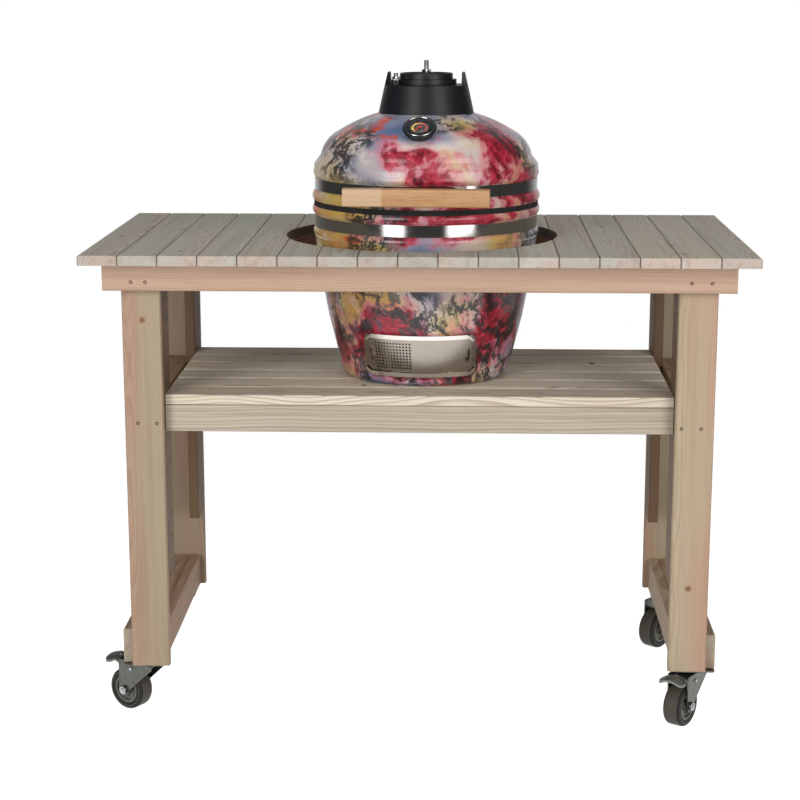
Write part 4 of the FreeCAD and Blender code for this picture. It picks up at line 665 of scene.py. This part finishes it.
glazed = glaze()
band_steel = brushed_steel("band_steel", (150, 147, 144), rough=0.09)
door_steel = brushed_steel("door_steel", (172, 163, 152), rough=0.24)
frame_steel = brushed_steel("frame_steel", (166, 158, 148), rough=0.24, rails=True)
bracket_steel = brushed_steel("bracket_steel", (170, 168, 164), rough=0.26, turned=False)
cap_black = cast_black()
zinc = speckled("zinc", rgb(84, 85, 80), rgb(102, 102, 96), scale=90, rough=0.26, metallic=1.0,
                bump=0.00003)
zinc_bolt = speckled("zinc_bolt", rgb(150, 152, 152), rgb(178, 180, 182), scale=500, rough=0.22,
                     metallic=1.0, bump=0.0001)
bright_steel = speckled("bright_steel", rgb(190, 188, 184), rgb(216, 214, 210), scale=500, rough=0.16,
                        metallic=1.0, bump=0.0001)
pedal_steel = ridged_steel()
rubber = speckled("tyre_rubber", rgb(46, 44, 38), rgb(72, 66, 56), scale=500, rough=0.55)
hub_plastic = speckled("hub_plastic", rgb(88, 89, 81), rgb(108, 108, 98), scale=600, rough=0.36)
screw_finish = screw_steel()
felt = speckled("felt", rgb(26, 26, 26), rgb(44, 42, 40), scale=1500, rough=0.9, bump=0.001, strength=0.8)
firebrick = speckled("firebrick", rgb(176, 152, 124), rgb(202, 182, 152), scale=420, rough=0.86,
                     bump=0.0008)
cast_iron = speckled("cast_iron", rgb(40, 40, 40), rgb(62, 60, 58), scale=500, rough=0.55, metallic=0.6,
                     bump=0.0008)
grid_steel = speckled("grid_steel", rgb(150, 148, 144), rgb(176, 174, 170), scale=260, rough=0.28,
                      metallic=1.0)
spring_steel = speckled("spring_steel", rgb(120, 120, 122), rgb(160, 160, 160), scale=400, rough=0.25,
                        metallic=1.0)
needle_red = speckled("needle_red", rgb(196, 38, 30), rgb(210, 52, 40), scale=600, rough=0.4)

SLOT_FINISH = {"bamboo": bamboo(), "glaze": glazed, "firebrick": firebrick, "felt": felt,
               "cast_cap": cap_black, "grate_iron": cast_iron, "cooking_steel": grid_steel,
               "spring_steel": spring_steel, "dial_black": dial_face(), "needle_red": needle_red,
               "zinc": zinc, "hub_plastic": hub_plastic, "pedal_steel": pedal_steel,
               "stainless": bracket_steel}
node_slot = {part["node"]: part["material_slot"] for part in frame["record"]["subparts"]}
for corner in CASTER_YAW:
    NODE_FINISH["caster_tyre_" + corner] = tyre(corner)
for name in ("base_band", "lid_band"):
    NODE_FINISH[name] = band_steel
for name in ("draft_door", "draft_screen"):
    NODE_FINISH[name] = door_steel
NODE_FINISH["draft_frame"] = frame_steel
NODE_FINISH["thermometer_case"] = cap_black

for name, made in nodes.items():
    finish = NODE_FINISH.get(name) or SLOT_FINISH[node_slot[name]]
    made.data.materials.clear()
    made.data.materials.append(finish)


# Added pieces: screws, bolts, nuts, threads and trim

def lathe(rings, closed=False, segments=36):
    """Points and faces of rings one after another; each is a radius, or a radius by angle, and a height."""
    points = []
    for reach, height in rings:
        for step in range(segments):
            angle = 2 * math.pi * step / segments
            radius = reach(angle) if callable(reach) else reach
            points.append((radius * math.cos(angle), radius * math.sin(angle), height))
    faces = []
    count = len(rings)
    for ring in range(count if closed else count - 1):
        for step in range(segments):
            near = ring * segments
            far = (ring + 1) % count * segments
            beside = (step + 1) % segments
            faces.append((near + step, near + beside, far + beside, far + step))
    if not closed:
        faces.append(tuple(reversed(range(segments))))
        faces.append(tuple(range(len(points) - segments, len(points))))
    return points, faces


def six_sided(across, limit=1.0):
    """The radius of a hexagon by angle, cut off at a circle, for nuts with turned corners."""
    def reach(angle):
        offset = (angle + math.pi / 6) % (math.pi / 3) - math.pi / 6
        return min(across / math.cos(offset), across * limit)
    return reach


def star(radius, depth=0.16):
    """The six-lobed socket of a wood screw."""
    return lambda angle: radius * (1 + depth * math.cos(6 * angle))


def nut(across, height, bore, end):
    """A nut with chamfered corners and the rounded end of its bolt standing out of it."""
    rings = [(six_sided(across, 1.0), 0), (six_sided(across, HEXAGON), 0.12 * height),
             (six_sided(across, HEXAGON), 0.84 * height), (six_sided(across, 1.08), 0.92 * height),
             (six_sided(across, 1.0), height), (bore, height)]
    if end:
        rings += [(bore, height + 0.7 * end), (0.8 * bore, height + end)]
    return lathe(rings)


def thread(radius, length, pitch, depth):
    """A bolt's end: ridges one above the other and a cone at the tip."""
    rings = []
    for turn in range(int(length / pitch)):
        rings += [(radius - depth, turn * pitch), (radius, (turn + 0.5) * pitch)]
    rings += [(radius - depth, length - pitch / 2), (0.7 * radius, length)]
    return lathe(rings)


def hoop(inner, outer, height, ease):
    """A ring with rounded edges."""
    return lathe([(inner, 0), (inner, height - ease), (inner + ease, height), (outer - ease, height),
                  (outer, height - ease), (outer, 0)], closed=True, segments=64)


def dome(radius, height):
    """A rounded rivet head."""
    rises = [rise / 6 * math.pi / 2 for rise in range(6)]
    return lathe([(radius * math.cos(rise), height * math.sin(rise)) for rise in rises])


WOOD_SCREW = lathe([(SCREW_HEAD, -0.0006), (SCREW_HEAD, 0.0001), (0.0029, 0.0003), (star(0.0015), 0.0003),
                    (star(0.0012), -0.0009)])
PLATE_SCREW = lathe([(0.0058, 0), (0.0058, 0.0006), (six_sided(0.0040, HEXAGON), 0.0008),
                     (six_sided(0.0040, HEXAGON), 0.0026), (six_sided(0.0040, 1.0), 0.0031),
                     (0.0018, 0.0027)])


def piece(name, form, place, finish, body):
    """A new mesh in its place, which rides on a body and takes the finish that it is given."""
    points, faces = form
    mesh = bpy.data.meshes.new(name)
    mesh.from_pydata(points, [], faces)
    mesh.shade_smooth()
    mesh.set_sharp_from_angle(angle=math.radians(32))
    mesh.materials.append(finish)
    made = bpy.data.objects.new(name, mesh)
    bpy.context.scene.collection.objects.link(made)
    made.matrix_world = place
    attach(made, body)


def facing(x, y, z, direction):
    """A place whose own Z points along a direction."""
    return Matrix.Translation((x, y, z)) @ Vector(direction).to_track_quat("Z", "Y").to_matrix().to_4x4()


def wood_screws():
    """Two screws at each end of each apron and in each leg, on the front and mirrored on the rear."""
    rows = [("apron_screw", APRON_FACE, 0.837, (-0.5134, -0.4875)),
            ("apron_screw", APRON_FACE, 0.8395, (0.4838, 0.5203)),
            ("leg_screw", LEG_FACE, 0.574, (-0.5115, -0.4765)),
            ("leg_screw", LEG_FACE, 0.571, (0.476, 0.5115))]
    count = 0
    for kind, face, height, across in rows:
        for side in (-1, 1):
            for x in across:
                count += 1
                piece(f"{kind}_{count}", WOOD_SCREW, facing(x, side * face, height, (0, side, 0)),
                      screw_finish, "table")


def caster_details():
    """Plate screws, axle nuts, tyre beads and the heads of the pedal pins."""
    axle_nut = nut(across=0.0075, height=0.0054, bore=0.0042, end=0.0016)
    bead = hoop(inner=0.0325, outer=0.0345, height=0.0007, ease=0.0003)
    pin_head = dome(radius=0.0036, height=0.0012)
    for corner in CASTER_YAW:
        foot, ahead, axle = swivel(corner)
        for index, (x, y) in enumerate(((-1, -1), (1, -1), (1, 1), (-1, 1))):
            screw = facing(foot.x + x * PLATE_SCREW_OFFSET, foot.y + y * PLATE_SCREW_OFFSET, PLATE_UNDERSIDE,
                           (0, 0, -1))
            piece(f"caster_screw_{corner}_{index + 1}", PLATE_SCREW, screw, zinc_bolt, "table")
        centre = foot + Vector((0, 0, WHEEL_AXLE)) + CASTER_TRAIL * ahead
        pin = foot + Vector((0, 0, PEDAL_PIN_HEIGHT)) + PEDAL_PIN_TRAIL * ahead
        for end, way in (("a", 1), ("b", -1)):
            out = way * axle
            piece(f"axle_nut_{corner}_{end}", axle_nut, facing(*(centre + AXLE_NUT_FACE * out), out),
                  zinc_bolt, "swivel_" + corner)
            piece(f"tyre_bead_{corner}_{end}", bead, facing(*(centre + TYRE_BEAD_FACE * out), out),
                  rubber, "wheel_" + corner)
            if corner.startswith("front"):
                piece(f"pedal_pin_head_{corner}_{end}", pin_head, facing(*(pin + PEDAL_PIN_FACE * out), out),
                      zinc_bolt, "brake_" + corner)


def on_grill(x, y, z, direction):
    """A place on the grill, in the grill's own turned frame."""
    return GRILL_PLACE @ facing(x, y, z, direction)


def outward(degrees):
    """The level direction at an angle round the grill's axis."""
    angle = math.radians(degrees)
    return Vector((math.cos(angle), math.sin(angle), 0))


def vent_details():
    """The nut and thread of the vent's stud, and the washer, nut and thread of the bolt that it swings on."""
    up = (0, 0, 1)
    stud = (0, 0)
    stud_thread = thread(radius=0.0046, length=0.0162, pitch=0.0013, depth=0.0004)
    stud_nut = nut(across=0.0078, height=0.0064, bore=0.0045, end=0)
    stud_parts = [("thread", stud_thread, VENT_STUD_THREAD), ("nut", stud_nut, VENT_STUD_NUT)]
    pivot = VENT_PIVOT_RADIUS * outward(VENT_PIVOT_ANGLE).xy
    washer = hoop(inner=0.0042, outer=0.0088, height=0.0008, ease=0.0003)
    pivot_nut = nut(across=0.0064, height=0.0056, bore=0.0044, end=0)
    pivot_thread = thread(radius=0.0044, length=0.0062, pitch=0.0013, depth=0.0004)
    pivot_parts = [("washer", washer, VENT_PIVOT_WASHER), ("nut", pivot_nut, VENT_PIVOT_NUT),
                   ("thread", pivot_thread, VENT_PIVOT_THREAD)]
    for name, place, body, parts in (("vent_stud_", stud, "vent_swing", stud_parts),
                                     ("vent_pivot_", pivot, "grill_lid", pivot_parts)):
        for kind, form, height in parts:
            piece(name + kind, form, on_grill(*place, height, up), bright_steel, body)


def thermometer_details():
    """A bright ring, a black bezel and a slightly domed glass over the dial."""
    rim = GAUGE_PLACE @ Matrix.Translation((0, 0, GAUGE_RIM))
    ring = hoop(inner=0.0262, outer=0.0273, height=0.0015, ease=0.0005)
    bezel = lathe([(0.0178, -0.0004), (0.0178, 0.0001), (0.0240, 0.0013), (0.0256, 0.0015), (0.0262, 0.0010),
                   (0.0262, 0)], closed=True, segments=64)
    lens = lathe([(0.0176, -0.0003), (0.0176, 0), (0.014, 0.0003), (0.009, 0.0006), (0.004, 0.0007)],
                 segments=64)
    piece("thermometer_ring", ring, rim, bright_steel, "grill_lid")
    piece("thermometer_bezel", bezel, rim, cap_black, "grill_lid")
    piece("thermometer_glass", lens, rim, gauge_glass(), "grill_lid")


def band_nuts():
    """A nut on both ends of the bolt that closes each band."""
    bolt_nut = nut(across=0.0040, height=0.0036, bore=0.0025, end=0.0004)
    out = outward(BAND_BOLT_ANGLE)
    side = Vector((-out.y, out.x, 0))
    for name, height in BAND_HEIGHT.items():
        middle = BAND_BOLT_RADIUS * out + Vector((0, 0, height))
        for end, way in (("a", 1), ("b", -1)):
            piece(f"{name}_band_nut_{end}", bolt_nut,
                  on_grill(*(middle + way * BAND_NUT_FACE * side), way * side), bright_steel, "grill_" + name)


def hinge_details():
    """A cap nut on both ends of the hinge pin, and the rivets that hold the hinge to the two bands."""
    cap_nut = nut(across=0.0062, height=0.0044, bore=0.0040, end=0.0012)
    rivet = dome(radius=0.0034, height=0.0015)
    for end, way in (("left", -1), ("right", 1)):
        piece(f"hinge_pin_cap_{end}", cap_nut,
              on_grill(way * HINGE_PIN_END, *HINGE_PIN_PLACE, (way, 0, 0)), bright_steel, "grill_base")
        for name, turn in HINGE_RIVET_TURN.items():
            out = outward(90 - way * turn)
            place = HINGE_RIVET_RADIUS * out + Vector((0, 0, BAND_HEIGHT[name]))
            piece(f"hinge_rivet_{name}_{end}", rivet, on_grill(*place, out), bright_steel, "grill_" + name)


wood_screws()
caster_details()
vent_details()
thermometer_details()
band_nuts()
hinge_details()


# Stage: a white floor that keeps the shadow, and a room that is white behind the object and dark before it

def floor():
    """A disc that is seen as white with the object's shadow, and that lights the object as pale grey."""
    mesh = bpy.data.meshes.new("floor")
    made = bpy.data.objects.new("floor", mesh)
    bpy.context.scene.collection.objects.link(made)
    form = bmesh.new()
    bmesh.ops.create_circle(form, cap_ends=True, radius=FLOOR_RADIUS, segments=96)
    form.to_mesh(mesh)
    form.free()
    finish = Finish("floor")
    tree = finish.tree
    path = tree.nodes.new("ShaderNodeLightPath")
    mirrored = finish.math("MAXIMUM", path.outputs["Is Glossy Ray"], path.outputs["Is Transmission Ray"])
    seen = finish.math("MAXIMUM", path.outputs["Is Camera Ray"], mirrored)
    away = finish.node("VectorMath", {0: finish.place}, operation="LENGTH").outputs["Value"]
    fade = finish.step(away, *FLOOR_FADE)
    plain = finish.node("BsdfDiffuse", {"Color": (FLOOR_GREY, FLOOR_GREY, FLOOR_GREY, 1)}).outputs[0]
    lift = finish.node("Emission", {"Color": WHITE, "Strength": FLOOR_LIFT}).outputs[0]
    white = finish.node("Emission", {"Color": WHITE, "Strength": ROOM_SEEN}).outputs[0]
    shaded = finish.node("AddShader", {0: plain, 1: lift}).outputs[0]
    shown = finish.node("MixShader", {0: fade, 1: shaded, 2: white}).outputs[0]
    both = finish.node("MixShader", {0: seen, 1: plain, 2: shown}).outputs[0]
    tree.nodes.remove(finish.shader)
    tree.links.new(both, tree.nodes["Material Output"].inputs["Surface"])
    mesh.materials.append(finish.material)


def room():
    """Its strength goes by the kind of ray: seen, soft, or mirrored, which is brighter behind the object."""
    world = bpy.data.worlds.new("room")
    bpy.context.scene.world = world
    world.use_nodes = True
    tree = world.node_tree
    shade = tree.nodes["Background"]
    path = tree.nodes.new("ShaderNodeLightPath")
    seen = tree.nodes.new("ShaderNodeMath")
    seen.operation = "MAXIMUM"
    tree.links.new(path.outputs["Is Camera Ray"], seen.inputs[0])
    tree.links.new(path.outputs["Is Transmission Ray"], seen.inputs[1])
    direction = tree.nodes.new("ShaderNodeTexCoord")
    split = tree.nodes.new("ShaderNodeSeparateXYZ")
    tree.links.new(direction.outputs["Generated"], split.inputs[0])
    behind = tree.nodes.new("ShaderNodeMapRange")
    behind.interpolation_type = "SMOOTHSTEP"
    for index, value in enumerate((*ROOM_TURN, ROOM_DARK, ROOM_BRIGHT), start=1):
        behind.inputs[index].default_value = value
    tree.links.new(split.outputs["Y"], behind.inputs[0])
    glossy = tree.nodes.new("ShaderNodeMix")
    glossy.inputs[2].default_value = ROOM_LIGHT
    tree.links.new(path.outputs["Is Glossy Ray"], glossy.inputs[0])
    tree.links.new(behind.outputs[0], glossy.inputs[3])
    strength = tree.nodes.new("ShaderNodeMix")
    strength.inputs[3].default_value = ROOM_SEEN
    tree.links.new(seen.outputs[0], strength.inputs[0])
    tree.links.new(glossy.outputs[0], strength.inputs[2])
    tree.links.new(strength.outputs[0], shade.inputs["Strength"])
    shade.inputs["Color"].default_value = WHITE


def lamp(name, place, aim, width, height, power):
    """A softbox that faces the place that it is aimed at."""
    data = bpy.data.lights.new(name, "AREA")
    data.shape = "RECTANGLE"
    data.size = width
    data.size_y = height
    data.energy = power
    made = bpy.data.objects.new(name, data)
    bpy.context.scene.collection.objects.link(made)
    made.location = place
    made.rotation_euler = (Vector(aim) - Vector(place)).to_track_quat("-Z", "Y").to_euler()


def lamps():
    for side, degrees in SOFTBOX_ANGLE.items():
        turn = math.radians(degrees)
        place = (SOFTBOX_DISTANCE * math.sin(turn), -SOFTBOX_DISTANCE * math.cos(turn), SOFTBOX_CENTRE)
        lamp("softbox_" + side, place, (0, 0, SOFTBOX_AIM), SOFTBOX_WIDTH[side], SOFTBOX_HEIGHT,
             SOFTBOX_POWER)
    lamp("overhead", OVERHEAD_PLACE, OVERHEAD_AIM, *OVERHEAD_SIZE, OVERHEAD_POWER)


def camera():
    """The camera of the photograph, solved from the lines of its boards."""
    data = bpy.data.cameras.new("camera")
    data.sensor_width = CAMERA_SENSOR
    data.lens = CAMERA_LENS
    made = bpy.data.objects.new("camera", data)
    bpy.context.scene.collection.objects.link(made)
    made.location = CAMERA_PLACE
    made.rotation_euler = (math.pi / 2 - CAMERA_PITCH_DOWN, 0, CAMERA_YAW)
    bpy.context.scene.camera = made


floor()
room()
lamps()
camera()
bpy.context.scene.view_settings.view_transform = "Standard"
